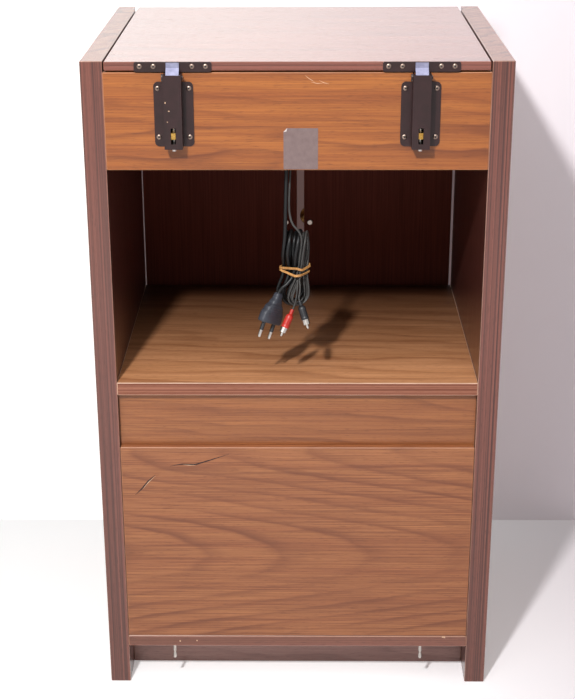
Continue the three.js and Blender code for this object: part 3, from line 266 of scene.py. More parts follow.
# walnut veneer on the sides and door fronts: brown with slow cathedral arches
walnutLook = {"coat": 0.7, "pale": "#A06A4C", "mid": "#8A5238", "dark": "#5A3020", "pore": "#3A1E15",
    "roughness": 0.36, "ring": 9, "wave": 36, "waveLength": 420, "waveWidth": 70, "arch": 26,
    "archPeriod": 330, "slope": 0.07, "run": 0.12, "arris": "#C79A86", "edge": ("#80483A", "#43211A")}
sideLeft = woodMaterial("walnut_veneer_left_side", {**walnutLook, "grain": "z", "seed": 3.0,
    "archCentre": 40, "inside": (0, 1, "#5A2E26")})
sideRight = woodMaterial("walnut_veneer_right_side", {**walnutLook, "grain": "z", "seed": 9.4,
    "archCentre": -30, "inside": (0, -1, "#5A2E26")})
doorLook = {**{key: value for key, value in walnutLook.items() if key != "edge"}, "grain": "z",
    "inside": (1, -1, "#72362A"), "stainDark": "#381813", "roughness": 0.5, "coat": 0.0, "specular": 0.12}
doorLeftWood = woodMaterial("walnut_veneer_left_door", {**doorLook, "seed": 14.2, "archCentre": -110})
doorRightWood = woodMaterial("walnut_veneer_right_door", {**doorLook, "seed": 18.8, "archCentre": 110})
# orange walnut of the upper rear panel: flowing streaks along it
upperWood = woodMaterial("orange_walnut_upper_panel", {"grain": "x", "seed": 5.0, "pale": "#BA7034",
    "mid": "#9E5829", "dark": "#6E371A", "pore": "#552C18", "roughness": 0.33, "ring": 11, "wave": 44,
    "waveLength": 360, "waveWidth": 42, "ripple": 3, "slope": 0.03, "run": 0.45, "ringShade": 0.95,
    "fibreShade": 0.55, "arris": "#D8A27C"})
# lower rear panel: nested arches, one row with its tips to the right and one to the left
accessWood = woodMaterial("walnut_access_panel", {"grain": "x", "seed": 2.0, "pale": "#B57548",
    "mid": "#A5653E", "dark": "#6E3A22", "pore": "#5A3020", "roughness": 0.34, "ring": 9, "wave": 11,
    "waveLength": 420, "waveWidth": 60, "ripple": 2, "arch": 26, "archCentre": -312, "archPeriod": 300,
    "slope": -0.085, "run": 0.0, "ringShade": 0.8, "fibreShade": 0.75, "arris": "#C9967A"})
railWood = woodMaterial("walnut_rail", {"grain": "x", "seed": 31.0, "pale": "#B07041", "mid": "#A06138",
    "dark": "#6A3820", "pore": "#5A3020", "roughness": 0.36, "ring": 11, "wave": 40, "waveLength": 380,
    "waveWidth": 50, "slope": 0.05, "run": 0.5, "ringShade": 0.7, "fibreShade": 0.6})
# the shelf's "dim" setting paints the shadow of the upper rear panel over its far part
shelfWood = woodMaterial("walnut_shelf", {"grain": "x", "seed": 41.0, "pale": "#E8A878", "mid": "#CE9163",
    "dark": "#935A38", "pore": "#744428", "roughness": 0.38, "ring": 14, "wave": 50, "waveLength": 420,
    "waveWidth": 70, "slope": 0.04, "run": 0.45, "ringShade": 0.6, "wear": 0.9, "fibreShade": 0.5,
    "specular": 0.15, "coat": 0.1, "dim": (-0.16, 0.13, "#351A10", 0.93), "arris": "#F0CDB4",
    "edge": ("#A8705A", "#7E4B3A")})
lowerWood = woodMaterial("walnut_lower_boards", {"grain": "x", "seed": 57.0, "pale": "#93655A",
    "mid": "#7E524A", "dark": "#5A362F", "pore": "#4A2C26", "roughness": 0.4, "ring": 10, "wave": 40,
    "waveLength": 300, "waveWidth": 60, "slope": 0.05, "run": 0.5, "ringShade": 0.4,
    "edge": ("#8E5A4C", "#68402F")})
plinthWood = woodMaterial("walnut_plinth", {"grain": "x", "seed": 52.0, "pale": "#B48C82", "mid": "#9C756C",
    "dark": "#6E4A42", "pore": "#5A3A32", "roughness": 0.42, "ring": 10, "wave": 36, "waveLength": 280,
    "waveWidth": 50, "slope": 0.05, "run": 0.5, "ringShade": 0.4})
deckWood = woodMaterial("birch_deck_board", {"grain": "x", "seed": 66.0, "pale": "#9C7454",
    "mid": "#86603F", "dark": "#634329", "pore": "#50351F", "roughness": 0.55, "ring": 16, "wave": 60,
    "waveLength": 300, "waveWidth": 90, "run": 0.3, "coat": 0.1})
frontWood = woodMaterial("walnut_fascia", {**walnutLook, "grain": "x", "seed": 73.0})
# lid: polished lacquer over walnut, with a bright glare at a low angle
lidWood = woodMaterial("lacquered_lid", {"grain": "x", "seed": 81.0, "pale": "#B8705A", "mid": "#9A5A46",
    "dark": "#65362A", "pore": "#523022", "roughness": 0.2, "coat": 0.75, "coatRoughness": 0.08, "ring": 16,
    "wave": 50, "waveLength": 460, "waveWidth": 80, "run": 0.4, "slope": 0.03, "ringShade": 0.7,
    "fibreShade": 0.5, "bump": 0.12, "arris": "#B87A66", "edge": ("#8A4E40", "#6A3A2E")})

# stove-enamelled sheet steel of the hinges: brown, a little orange peel, rubbed at the corners
brownSteel = plainMaterial("brown_enamelled_steel", {"colour": "#30191A", "second": "#241211", "ior": 1.38,
    "roughness": 0.4, "grit": 1.2, "patch": 14, "worn": "#8C8684", "coat": 0.15, "bump": 0.12,
    "relief": 0.00015})
# bent top of each tongue: bright steel that mirrors the ceiling, its colour tinted blue as a painted
# reflection
tongueSteel = plainMaterial("steel_tongue_painted_blue_reflection", {"colour": "#A9A9C4", "second": "#8C8CA6",
    "metallic": 1.0, "roughness": 0.3, "grit": 0.8, "patch": 8})
# hinge screws: browned steel heads, with shadow and old paint in their recesses
screwSteel = plainMaterial("browned_screw_steel", {"colour": "#A08C80", "second": "#7C6A60",
    "metallic": 1.0, "roughness": 0.34, "grit": 0.4, "patch": 3})
recessShadeAndPaint = plainMaterial("screw_recess", {"colour": "#1C1413", "second": "#120C0B", "roughness": 0.6,
    "grit": 0.4, "patch": 2})
# nickel plate on plungers, screws, pegs and plug pins: bright, with a grey bloom
nickel = plainMaterial("nickel_plated_steel", {"colour": "#C9C4BE", "second": "#A8A19A", "metallic": 1.0,
    "roughness": 0.3, "grit": 0.5, "patch": 5, "speckle": 0.2})
springWire = plainMaterial("spring_steel", {"colour": "#8D8A86", "second": "#716D68", "metallic": 1.0,
    "roughness": 0.36, "grit": 0.6, "patch": 6})
# brass of the door knobs: painted shade, darker than the deck's brass, for the dim space between the doors
# and the wall
shadedKnobBrass = plainMaterial("brass_knob_painted_shade", {"colour": "#8E7242", "second": "#6B5230", "metallic": 1.0,
    "roughness": 0.32, "grit": 0.5, "patch": 6})
brass = plainMaterial("turned_brass", {"colour": "#C29A52", "second": "#A17A38", "metallic": 1.0,
    "roughness": 0.28, "grit": 0.5, "patch": 12})
# deck plate: grey hammer-finish enamel on pressed sheet
deckEnamel = plainMaterial("hammer_finish_enamel", {"colour": "#6C6E70", "second": "#585A5D",
    "roughness": 0.4, "grit": 2.2, "patch": 60, "bump": 0.35, "relief": 0.0003, "coat": 0.3})
alloy = plainMaterial("turned_aluminium_alloy", {"colour": "#B4B6B8", "second": "#9B9DA0", "metallic": 1.0,
    "roughness": 0.34, "grit": 0.8, "patch": 30})
armChrome = plainMaterial("chromed_tube", {"colour": "#D6D4D2", "second": "#BDBAB8", "metallic": 1.0,
    "roughness": 0.14, "grit": 0.8, "patch": 20, "roughSpread": 0.04})
blackPlastic = plainMaterial("black_moulded_plastic", {"colour": "#26262A", "second": "#1B1B1E",
    "roughness": 0.42, "grit": 0.5, "patch": 10, "ior": 1.5})
# plug body: dark slate rubberised PVC, dusty on its flanks
plugPlastic = plainMaterial("slate_pvc_plug", {"colour": "#34363F", "second": "#24252C", "roughness": 0.5,
    "grit": 0.8, "patch": 9, "ior": 1.5, "speckle": 0.35, "speck": "#4A4C55"})
redPlastic = plainMaterial("red_moulded_plastic", {"colour": "#D23A2E", "second": "#B42A22",
    "roughness": 0.34, "grit": 0.6, "patch": 8, "ior": 1.5})
wheelRubber = plainMaterial("ground_rubber", {"colour": "#2A2A2A", "second": "#1E1E1E", "roughness": 0.75,
    "grit": 0.6, "patch": 12, "bump": 0.3})
blackPvc = plainMaterial("black_pvc_sheath", {"colour": "#121213", "second": "#0B0B0C", "roughness": 0.42,
    "grit": 1.0, "patch": 18, "ior": 1.4})
greyPvc = plainMaterial("grey_pvc_sheath", {"colour": "#4C4A48", "second": "#383634", "roughness": 0.46,
    "grit": 1.0, "patch": 14, "ior": 1.4})
# rubber band: perished tan rubber, a little paler where it is stretched
tanRubber = plainMaterial("tan_rubber_band", {"colour": "#D09A5C", "second": "#B67F45", "roughness": 0.55,
    "grit": 0.5, "patch": 5, "ior": 1.52, "bump": 0.25})
labelPlate = plainMaterial("bare_paper_label", {"colour": "#7E6A68", "second": "#725E5C", "roughness": 0.5,
    "grit": 0.7, "patch": 7, "speckle": 0.2, "speck": "#93807D"})
paperWhite = plainMaterial("torn_paper_edge", {"colour": "#E6DCD8", "second": "#CFC2BE", "roughness": 0.7,
    "grit": 0.6, "patch": 3})
crackDark = plainMaterial("open_crack", {"colour": "#3A1F17", "second": "#2A1510", "roughness": 0.7,
    "grit": 0.5, "patch": 4})
chipPale = plainMaterial("fresh_chip", {"colour": "#E3C2A4", "second": "#C99E7C", "roughness": 0.7,
    "grit": 0.6, "patch": 3})
matRubber = plainMaterial("ribbed_rubber_mat", {"colour": "#1F1F21", "second": "#17171A", "roughness": 0.6,
    "grit": 0.8, "patch": 20})
print("stage: materials made")


def newMesh(name, vertices, faces, material, smooth=True, angle=40):
    mesh = bpy.data.meshes.new(name)
    mesh.from_pydata([tuple(v) for v in vertices], [], faces)
    mesh.validate()
    work = bmesh.new()
    work.from_mesh(mesh)
    bmesh.ops.remove_doubles(work, verts=work.verts, dist=1e-6)
    bmesh.ops.recalc_face_normals(work, faces=work.faces)
    for face in work.faces:
        face.smooth = smooth
    for edge in work.edges:
        edge.smooth = len(edge.link_faces) != 2 or edge.calc_face_angle(0) < math.radians(angle)
    work.to_mesh(mesh)
    work.free()
    piece = bpy.data.objects.new(name, mesh)
    bpy.context.scene.collection.objects.link(piece)
    mesh.materials.append(material)
    return piece


def finishPiece(piece, body, replaced=()):
    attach(piece, body)
    if replaced:
        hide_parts(*replaced)
    return piece


def turnedMesh(profile, start, axis, steps):
    # profile: (radius, distance along the axis) in mm, from a start in metres
    axis = Vector(axis).normalized()
    side = axis.orthogonal().normalized()
    other = axis.cross(side)
    vertices, faces = [], []
    for radius, along in [(across / 1000, ahead / 1000) for across, ahead in profile]:
        for i in range(steps):
            angle = 2 * math.pi * i / steps
            outward = side * math.cos(angle) + other * math.sin(angle)
            vertices.append(Vector(start) + axis * along + outward * max(radius, 0))
    for row in range(len(profile) - 1):
        for i in range(steps):
            a, b = row * steps + i, row * steps + (i + 1) % steps
            faces.append((a, b, b + steps, a + steps))
    for row, flip in ((0, True), (len(profile) - 1, False)):
        ringFace = [row * steps + i for i in range(steps)]
        faces.append(tuple(reversed(ringFace)) if flip else tuple(ringFace))
    return vertices, faces


def turnedPiece(name, profile, start, axis, material, steps=48):
    return newMesh(name, *turnedMesh(profile, start, axis, steps), material)


# the leads: the hank's strands, fold by fold, then the free stretches at both ends
bundle = {"x": -4.3, "y": 35, "top": deckTop - 98, "bottom": deckTop - 195, "turnTop": 84, "turnBottom": 24}
mainsHank = {"diameter": 4.4, "innerRadius": 11.6, "pitch": 5.5, "halfTurns": 2, "layers": 4,
    "firstLayer": 8, "lastLayer": -7.6, "waistNear": 2.6, "waistFar": -0.2, "waistStep": 1.05,
    "top": deckTop - 98, "bottom": deckTop - 195, "lastRun": 0.5}
audioHank = {"diameter": 2.6, "innerRadius": 8, "pitch": 3.7, "halfTurns": 3, "layers": 2,
    "firstLayer": -11.9, "lastLayer": -15.3, "waistNear": 1.8, "waistFar": 1.8, "waistStep": 1.05,
    "top": deckTop - 100, "bottom": deckTop - 192, "lastRun": 0.55}
hankSteps = {"run": 14, "fold": 16}


def lerp(a, b, share):
    return a + (b - a) * share


def smooth(share):
    share = min(1.0, max(0.0, share))
    return share * share * (3 - 2 * share)


def inBundle(across, layer, z):
    turn = math.radians(lerp(bundle["turnBottom"], bundle["turnTop"],
        smooth((z - bundle["bottom"]) / (bundle["top"] - bundle["bottom"]))))
    return Vector((bundle["x"] + across * math.cos(turn) - layer * math.sin(turn),
        rearPlane + bundle["y"] + across * math.sin(turn) + layer * math.cos(turn), z))


def hankPath(hank):
    per = hank["halfTurns"]
    total = per * hank["layers"]
    outer = hank["innerRadius"] + per * hank["pitch"] / 2
    foldTop = hank["top"] - outer - hank["diameter"] / 2
    foldBottom = hank["bottom"] + outer + hank["diameter"] / 2
    middle = (foldTop + foldBottom) / 2

    def radiusOf(turn):
        inCycle = turn % (2 * per)
        return outer - (inCycle if inCycle <= per else 2 * per - inCycle) * hank["pitch"] / 2

    def layerOf(index):
        return lerp(hank["firstLayer"], hank["lastLayer"], index / (hank["layers"] - 1))

    def drawnIn(side, radius, z):
        share = math.cos(math.pi * (z - middle) / (foldTop - foldBottom)) ** 2
        waist = hank["waistNear"] if side < 0 else hank["waistFar"]
        waist += (radius - hank["innerRadius"]) * hank["waistStep"]
        return side * lerp(radius, waist, share)

    path = [inBundle(-outer, layerOf(0), foldTop + hank["diameter"])]
    for turn in range(total + 1):
        down = turn % 2 == 0
        side = -1 if down else 1
        radius = radiusOf(turn)
        index = min(hank["layers"] - 1, turn // per)
        climbs = 0 < turn < total and turn % per == 0
        start, end = (foldTop, foldBottom) if down else (foldBottom, foldTop)
        last = hank["lastRun"] if turn == total else 1
        for i in range(hankSteps["run"] + 1):
            share = last * i / hankSteps["run"]
            z = lerp(start, end, share)
            layer = lerp(layerOf(index - 1 if climbs else index), layerOf(index), smooth(share))
            path.append(inBundle(drawnIn(side, radius, z), layer, z))
        if turn == total:
            break
        for i in range(1, hankSteps["fold"]):
            share = i / hankSteps["fold"]
            bent = lerp(radius, radiusOf(turn + 1), share)
            z = end + side * bent * math.sin(math.pi * share)
            path.append(inBundle(side * bent * math.cos(math.pi * share), layerOf(index), z))
    return path


freeStretches = {
    "mainsDrop": [(-12, 61.7, 2), (-12, 54, 2.5), (-12, 41, 7.5), (-12.2, 31.5, 20), (-12.8, 26, 42),
                  (-13.6, 20.8, 72), (-14.05, 18.9, 97)],
    "audioDrop": [(1, 61.7, 2), (0.6, 55.5, 2.3), (-2.5, 45.5, 6.5), (-6.8, 36.5, 18.5), (-8.6, 29.3, 42),
                  (-9.5, 24.8, 63), (-8.7, 22, 79), (-5, 20.4, 90), (-0.2, 19.6, 95.4), (3.9, 19.2, 101.5)],
    "mainsTail": [(-6.1, 22, 155), (-9.2, 20.2, 159), (-13.1, 18.6, 162.8), (-17, 17.9, 165.7)],
    "blackTail": [(2.5, 17.6, 156.5), (3.2, 15, 162.5), (3, 12.4, 169.5), (2, 10, 174.5)],
    "redTail": [(0.2, 15.8, 155.8), (0.3, 14, 162), (-0.2, 12.6, 169), (-1, 11.9, 175.5),
                (-2.3, 10.7, 182.5)],
}
mainsPlug = {"cableEnd": (-21.5, 16.8, 172.4), "axis": (-0.319, -0.27, -0.908),
    "across": (0.6, 0.685, -0.414), "length": 37, "pinSpacing": 18.6}
audioPlugs = {"red": {"start": (-5.4, 8, 190), "tip": (-19.8, -4, 220)},
    "black": {"start": (2.7, 8, 179), "tip": (13, -4, 210.2)}}
audioPlugNeck = 2.2
freeSteps = 8  # steps of the curve between two points of a free stretch


def throughPoints(points, counts):
    # centripetal curve through the points, with so many steps to each span
    line = []
    for i in range(len(points) - 1):
        p1, p2 = points[i], points[i + 1]
        p0 = points[i - 1] if i else p1 * 2 - p2
        p3 = points[i + 2] if i + 2 < len(points) else p2 * 2 - p1
        t1 = max((p1 - p0).length, 1e-6) ** 0.5
        t2 = t1 + max((p2 - p1).length, 1e-6) ** 0.5
        t3 = t2 + max((p3 - p2).length, 1e-6) ** 0.5
        steps = counts[i]
        for k in range(steps):
            t = lerp(t1, t2, k / steps)
            a1 = p0 * ((t1 - t) / t1) + p1 * (t / t1)
            a2 = p1 * ((t2 - t) / (t2 - t1)) + p2 * ((t - t1) / (t2 - t1))
            a3 = p2 * ((t3 - t) / (t3 - t2)) + p3 * ((t - t2) / (t3 - t2))
            b1 = a1 * ((t2 - t) / t2) + a2 * (t / t2)
            b2 = a2 * ((t3 - t) / (t3 - t1)) + a3 * ((t - t1) / (t3 - t1))
            line.append(b1 * ((t2 - t) / (t2 - t1)) + b2 * ((t - t1) / (t2 - t1)))
    line.append(points[-1].copy())
    return line


def eased(line, first, last, rounds=6):
    # takes the kinks out of a stretch whose ends stay put
    for _ in range(rounds):
        old = [p.copy() for p in line]
        for i in range(max(first, 1), min(last, len(line) - 1)):
            line[i] = old[i] * 0.5 + (old[i - 1] + old[i + 1]) * 0.25
    return line


def leadLine(head, hank, tail, end, axis):
    # one line from the strain relief, through the hank, to the plug
    start = [below(*p) for p in head]
    wound = hankPath(hank)
    out = [below(*p) for p in tail]
    into = [end - axis * 2.2, end + axis * 2.0]
    points = start + wound + out + into
    counts = [freeSteps] * len(start) + [1] * (len(wound) - 1) + [freeSteps] * (len(out) + len(into) + 1)
    line = throughPoints(points, counts[:len(points) - 1])
    line = eased(line, 2, len(start) * freeSteps + 4)
    return eased(line, len(line) - freeSteps * (len(out) + 2) - 4, len(line) - 4)


def cordCurve(name, line, diameter, material, thickness=None):
    curve = bpy.data.curves.new(name, "CURVE")
    curve.dimensions = "3D"
    curve.bevel_depth = diameter / 2000
    curve.bevel_resolution = 3
    curve.use_fill_caps = True
    spline = curve.splines.new("POLY")
    spline.points.add(len(line) - 1)
    for i, p in enumerate(line):
        spline.points[i].co = (p.x / 1000, p.y / 1000, p.z / 1000, 1)
        spline.points[i].radius = thickness(i) if thickness else 1.0
    spline.use_smooth = True
    curve.materials.append(material)
    piece = bpy.data.objects.new(name, curve)
    bpy.context.scene.collection.objects.link(piece)
    return piece


def lineLength(line):
    return sum((b - a).length for a, b in zip(line, line[1:])) / 1000


def plugFrame():
    axis = Vector(mainsPlug["axis"]).normalized()
    across = Vector(mainsPlug["across"])
    across = (across - axis * across.dot(axis)).normalized()
    return below(*mainsPlug["cableEnd"]), axis, across, axis.cross(across)


plugEnd, plugAxis, plugAcross, plugFlat = plugFrame()
mainsLine = leadLine(freeStretches["mainsDrop"], mainsHank, freeStretches["mainsTail"], plugEnd, plugAxis)
mainsCord = finishPiece(cordCurve("mains_lead", mainsLine, mainsHank["diameter"], blackPvc), "cabinet",
    ("mains_drop", "mains_hank", "mains_tail"))
blackStart = below(*audioPlugs["black"]["start"])
blackAxis = (below(*audioPlugs["black"]["tip"]) - blackStart).normalized()
redStart = below(*audioPlugs["red"]["start"])
redAxis = (below(*audioPlugs["red"]["tip"]) - redStart).normalized()
audioLine = leadLine(freeStretches["audioDrop"], audioHank, freeStretches["blackTail"], blackStart, blackAxis)
tailPoints = freeSteps * (len(freeStretches["blackTail"]) + 2)
audioCord = finishPiece(cordCurve("audio_lead", audioLine, audioHank["diameter"], greyPvc,
    lambda i: 1.0 if i < len(audioLine) - tailPoints else 0.85), "cabinet",
    ("audio_drop", "audio_hank", "audio_tail_black"))
redPoints = [below(*p) for p in freeStretches["redTail"]] + [redStart - redAxis * 1.8,
    redStart + redAxis * 2.0]
redLine = eased(throughPoints(redPoints, [freeSteps] * (len(redPoints) - 1)), 2,
    len(freeStretches["redTail"]) * freeSteps + 4)
redCord = finishPiece(cordCurve("audio_red_tail", redLine, 2.2, greyPvc), "cabinet",
    ("audio_tail_red",))
print("stage: leads laid", round(lineLength(mainsLine), 3), round(lineLength(audioLine), 3),
    round(lineLength(redLine), 3))

# mains plug: a moulded body that swells from the cable, finger ribs, and two half-sleeved pins
plugShape = {"rings": ((0.0, 8, 6.5), (1.5, 10, 8), (6, 11, 9), (12, 17, 11), (19, 27, 13.2), (27, 34, 14),
    (35, 35, 14), (36.4, 34.2, 13.2), (37, 32.5, 11.5)), "sides": 48, "ribs": 5}


def superRing(width, thickness, power, sides):
    ring = []
    for i in range(sides):
        angle = 2 * math.pi * i / sides
        c, s = math.cos(angle), math.sin(angle)
        ring.append((math.copysign(abs(c) ** (2 / power), c) * width / 2,
            math.copysign(abs(s) ** (2 / power), s) * thickness / 2))
    return ring


def loftedPlug():
    vertices, faces = [], []
    sides = plugShape["sides"]
    stations = []
    rings = plugShape["rings"]
    for (z0, w0, t0), (z1, w1, t1) in zip(rings, rings[1:]):
        steps = max(2, int((z1 - z0) / 0.7))
        for k in range(steps):
            share = smooth(k / steps) if z0 >= 6 and z1 <= 27 else k / steps
            stations.append((lerp(z0, z1, k / steps), lerp(w0, w1, share), lerp(t0, t1, share)))
    stations.append(rings[-1])
    for z, width, thickness in stations:
        groove = 0.0
        if 13.5 < z < 27:  # finger ribs across the flanks
            groove = 0.45 * max(0.0, math.sin((z - 13.5) / 13.5 * plugShape["ribs"] * 2 * math.pi))
        for x, y in superRing(width, thickness - 2 * groove, 3.4, sides):
            vertices.append((plugEnd + plugAxis * z + plugAcross * x + plugFlat * y) / 1000)
    for row in range(len(stations) - 1):
        for i in range(sides):
            a, b = row * sides + i, row * sides + (i + 1) % sides
            faces.append((a, b, b + sides, a + sides))
    faces.append(tuple(reversed(range(sides))))
    faces.append(tuple((len(stations) - 1) * sides + i for i in range(sides)))
    return vertices, faces


def joined(parts):
    # several shells as one list of vertices and faces
    vertices, faces = [], []
    for shellVertices, shellFaces in parts:
        shift = len(vertices)
        vertices += shellVertices
        faces += [tuple(i + shift for i in face) for face in shellFaces]
    return vertices, faces


plugBody = finishPiece(newMesh("mains_plug_body", *loftedPlug(), plugPlastic), "cabinet",
    ("mains_plug",))
pinProfile = [(2, 0), (2, 17.2), (1.6, 18.4), (0.7, 19), (0.1, 19.1)]
sleeveProfile = [(2.875, -0.4), (2.875, 0.6), (2.3, 1), (2.3, 9.8), (2.07, 10), (2, 10)]
pinShells, sleeveShells = [], []
for sign in (-1, 1):
    foot = plugEnd + plugAxis * mainsPlug["length"] + plugAcross * (sign * mainsPlug["pinSpacing"] / 2)
    pinShells.append(turnedMesh(pinProfile, foot / 1000, plugAxis, 20))
    sleeveShells.append(turnedMesh(sleeveProfile, foot / 1000, plugAxis, 20))
plugPins = finishPiece(newMesh("mains_plug_pins", *joined(pinShells), nickel), "cabinet")
plugSleeves = finishPiece(newMesh("mains_plug_sleeves", *joined(sleeveShells), blackPlastic), "cabinet")


def audioPlugPieces(name, start, axis, material, node):
    neck = audioPlugNeck
    outline = [(0.9, -0.2), (neck, 0)]
    for k in range(5):  # a ribbed strain relief
        z = 0.4 + k * 1.1
        outline += [(neck + 0.25, z), (neck + 0.25, z + 0.55), (neck - 0.25, z + 0.6),
            (neck - 0.25, z + 1.05)]
    outline += [(neck + 0.4, 6), (3.9, 7.6), (4.5, 9), (4.6, 10)]
    for k in range(8):  # a knurled grip drawn as shallow rings
        z = 11 + k * 1.1
        outline += [(4.6, z), (4.6, z + 0.6), (4.35, z + 0.7), (4.35, z + 1.0)]
    outline += [(4.6, 20.2), (4.6, 22.3), (4.3, 23), (4.0, 23)]
    cover = turnedPiece(name + "_cover", outline, start / 1000, axis, material, 32)
    finishPiece(cover, "cabinet", (node,))
    shell = [(3.2, 22.6), (4.1, 22.8), (4.1, 29), (3.8, 29.1), (3.65, 28.9), (3.65, 23.6), (1.6, 23.4)]
    pin = [(1.6, 23.2), (1.6, 31.0), (1.5, 32.6), (0.9, 33.8), (0.2, 34.2)]
    metal = newMesh(name + "_contact", *joined([turnedMesh(shell, start / 1000, axis, 32),
        turnedMesh(pin, start / 1000, axis, 20)]), nickel)
    finishPiece(metal, "cabinet")
    return cover, metal


redPieces = audioPlugPieces("red_plug", redStart, redAxis, redPlastic, "audio_plug_red")
blackPieces = audioPlugPieces("black_plug", blackStart, blackAxis, blackPlastic,
    "audio_plug_black")

# rubber band: two crossing turns round the waist
band = {"near": 13.5, "far": 9.4, "first": 12.2, "last": -18.6, "corner": 4.8, "drops": (150, 143.6),
    "tilt": 1.6, "wobble": 6, "width": 2.6, "thickness": 1.2}


def bandTurn(height, tilt, lift):
    outline = []
    for u, v, start in ((band["far"], band["first"], 0), (-band["near"], band["first"], 90),
            (-band["near"], band["last"], 180), (band["far"], band["last"], 270)):
        for step in range(9):
            angle = math.radians(start + step * 11.25)
            cu = u - math.copysign(band["corner"], u)
            cv = v - math.copysign(band["corner"], v)
            outline.append((cu + band["corner"] * math.cos(angle), cv + band["corner"] * math.sin(angle)))
    centre = Vector(((band["far"] - band["near"]) / 2, (band["first"] + band["last"]) / 2))
    path = [inBundle(u + (u - centre.x) * lift, v + (v - centre.y) * lift,
        height + tilt * math.sin(v / band["wobble"]) + 0.5 * math.sin(u / 4)) for u, v in outline]
    vertices, faces = [], []
    up = Vector((0, 0, 1))
    profile = [(0.5, 0.25), (0.42, 0.5), (-0.42, 0.5), (-0.5, 0.25), (-0.5, -0.25), (-0.42, -0.5),
        (0.42, -0.5), (0.5, -0.25)]
    count = len(path)
    for i, p in enumerate(path):
        ahead = (path[(i + 1) % count] - path[i - 1]).normalized()
        outward = ahead.cross(up).normalized()
        above = outward.cross(ahead)
        lean = 0.35 * math.sin(2 * math.pi * i / count * 2 + tilt)
        for a, b in profile:
            x, y = a * band["thickness"], b * band["width"]
            sideways = x * math.cos(lean) - y * math.sin(lean)
            upwards = x * math.sin(lean) + y * math.cos(lean)
            vertices.append((p + outward * sideways + above * upwards) / 1000)
    for i in range(count):
        for j in range(8):
            a, b = i * 8 + j, i * 8 + (j + 1) % 8
            c, d = ((i + 1) % count) * 8 + (j + 1) % 8, ((i + 1) % count) * 8 + j
            faces.append((a, b, c, d))
    return vertices, faces


bandPiece = newMesh("rubber_band_turns", *joined([bandTurn(deckTop - drop,
    band["tilt"] * (1 if i == 0 else -1), 0.0 if i == 0 else 0.02)
    for i, drop in enumerate(band["drops"])]), tanRubber)
finishPiece(bandPiece, "cabinet", ("rubber_band",))

print("stage: plugs and band made")

# screws of straps and flanges, set by Geometry Nodes: a domed head, and a dark dome in it for its recess:
# painted shade and old paint
screwLook = {"head": 2.9, "dome": 1.1, "recess": 1.7, "recessRise": 0.25, "sides": 28}


def screwTree():
    # a flattened ball on each point, facing the back of the cabinet
    tree = bpy.data.node_groups.new("screw_heads", "GeometryNodeTree")
    for name, kind, direction in (("Geometry", "NodeSocketGeometry", "INPUT"),
            ("Radius", "NodeSocketFloat", "INPUT"), ("Dome", "NodeSocketFloat", "INPUT"),
            ("Material", "NodeSocketMaterial", "INPUT"), ("Geometry", "NodeSocketGeometry", "OUTPUT")):
        tree.interface.new_socket(name=name, in_out=direction, socket_type=kind)
    given = addNode(tree, "NodeGroupInput")
    ball = addNode(tree, "GeometryNodeMeshUVSphere", {"Segments": screwLook["sides"], "Rings": 14},
        {"Radius": given.outputs["Radius"]})
    squeeze = addNode(tree, "ShaderNodeCombineXYZ", {0: 1.0, 2: 1.0}, {1: given.outputs["Dome"]})
    head = addNode(tree, "GeometryNodeTransform", {"Rotation": (math.radians(90), 0, 0)},
        {"Geometry": ball.outputs["Mesh"]})
    flat = addNode(tree, "GeometryNodeTransform", None, {"Geometry": head.outputs[0],
        "Scale": squeeze.outputs[0]})
    points = addNode(tree, "GeometryNodeMeshToPoints", None, {"Mesh": given.outputs["Geometry"]})
    placed = addNode(tree, "GeometryNodeInstanceOnPoints", None,
        {"Points": points.outputs[0], "Instance": flat.outputs[0]})
    real = addNode(tree, "GeometryNodeRealizeInstances", None, {"Geometry": placed.outputs[0]})
    rounded = addNode(tree, "GeometryNodeSetShadeSmooth", None, {"Geometry": real.outputs[0]})
    painted = addNode(tree, "GeometryNodeSetMaterial", None, {"Geometry": rounded.outputs[0],
        "Material": given.outputs["Material"]})
    addNode(tree, "NodeGroupOutput", None, {"Geometry": painted.outputs[0]})
    return tree


screwHeads = screwTree()


def screwSet(name, places, radius, dome, material, body):
    spots = bpy.data.meshes.new(name + "_points")
    spots.from_pydata([tuple(p) for p in places], [], [])
    carrier = bpy.data.objects.new(name + "_carrier", spots)
    bpy.context.scene.collection.objects.link(carrier)
    modifier = carrier.modifiers.new("screws", "NODES")
    modifier.node_group = screwHeads
    for socket, value in (("Radius", radius / 1000), ("Dome", dome), ("Material", material)):
        modifier[screwHeads.interface.items_tree[socket].identifier] = value
    mesh = bpy.data.meshes.new_from_object(carrier.evaluated_get(bpy.context.evaluated_depsgraph_get()))
    bpy.data.objects.remove(carrier)
    piece = bpy.data.objects.new(name, mesh)
    bpy.context.scene.collection.objects.link(piece)
    return finishPiece(piece, body)


hingeX = 137
flangeSpots = [(side * hingeX + dx, z) for side in (-1, 1) for dx in (-17.3, 17.3) for z in (770.3, 715.6)]
strapSpots = [(side * hingeX + dx, z) for side in (-1, 1) for dx, z in ((-36.5, 794.6), (-21.2, 794.6),
    (21.2, 794.6), (36.2, 794.6))]
domeShare = screwLook["dome"] / screwLook["head"]
recessShare = (screwLook["dome"] + screwLook["recessRise"]) / screwLook["recess"]
for group, spots, inward, body in (("flange", flangeSpots, -1.5, "cabinet"),
        ("strap", strapSpots, -2.0, "lid")):
    screwSet(group + "_screw_heads", [at(x, inward, z) for x, z in spots], screwLook["head"], domeShare,
        screwSteel, body)
    screwSet(group + "_screw_recesses", [at(x, inward, z) for x, z in spots], screwLook["recess"],
        recessShare, recessShadeAndPaint, body)
print("stage: screws set")


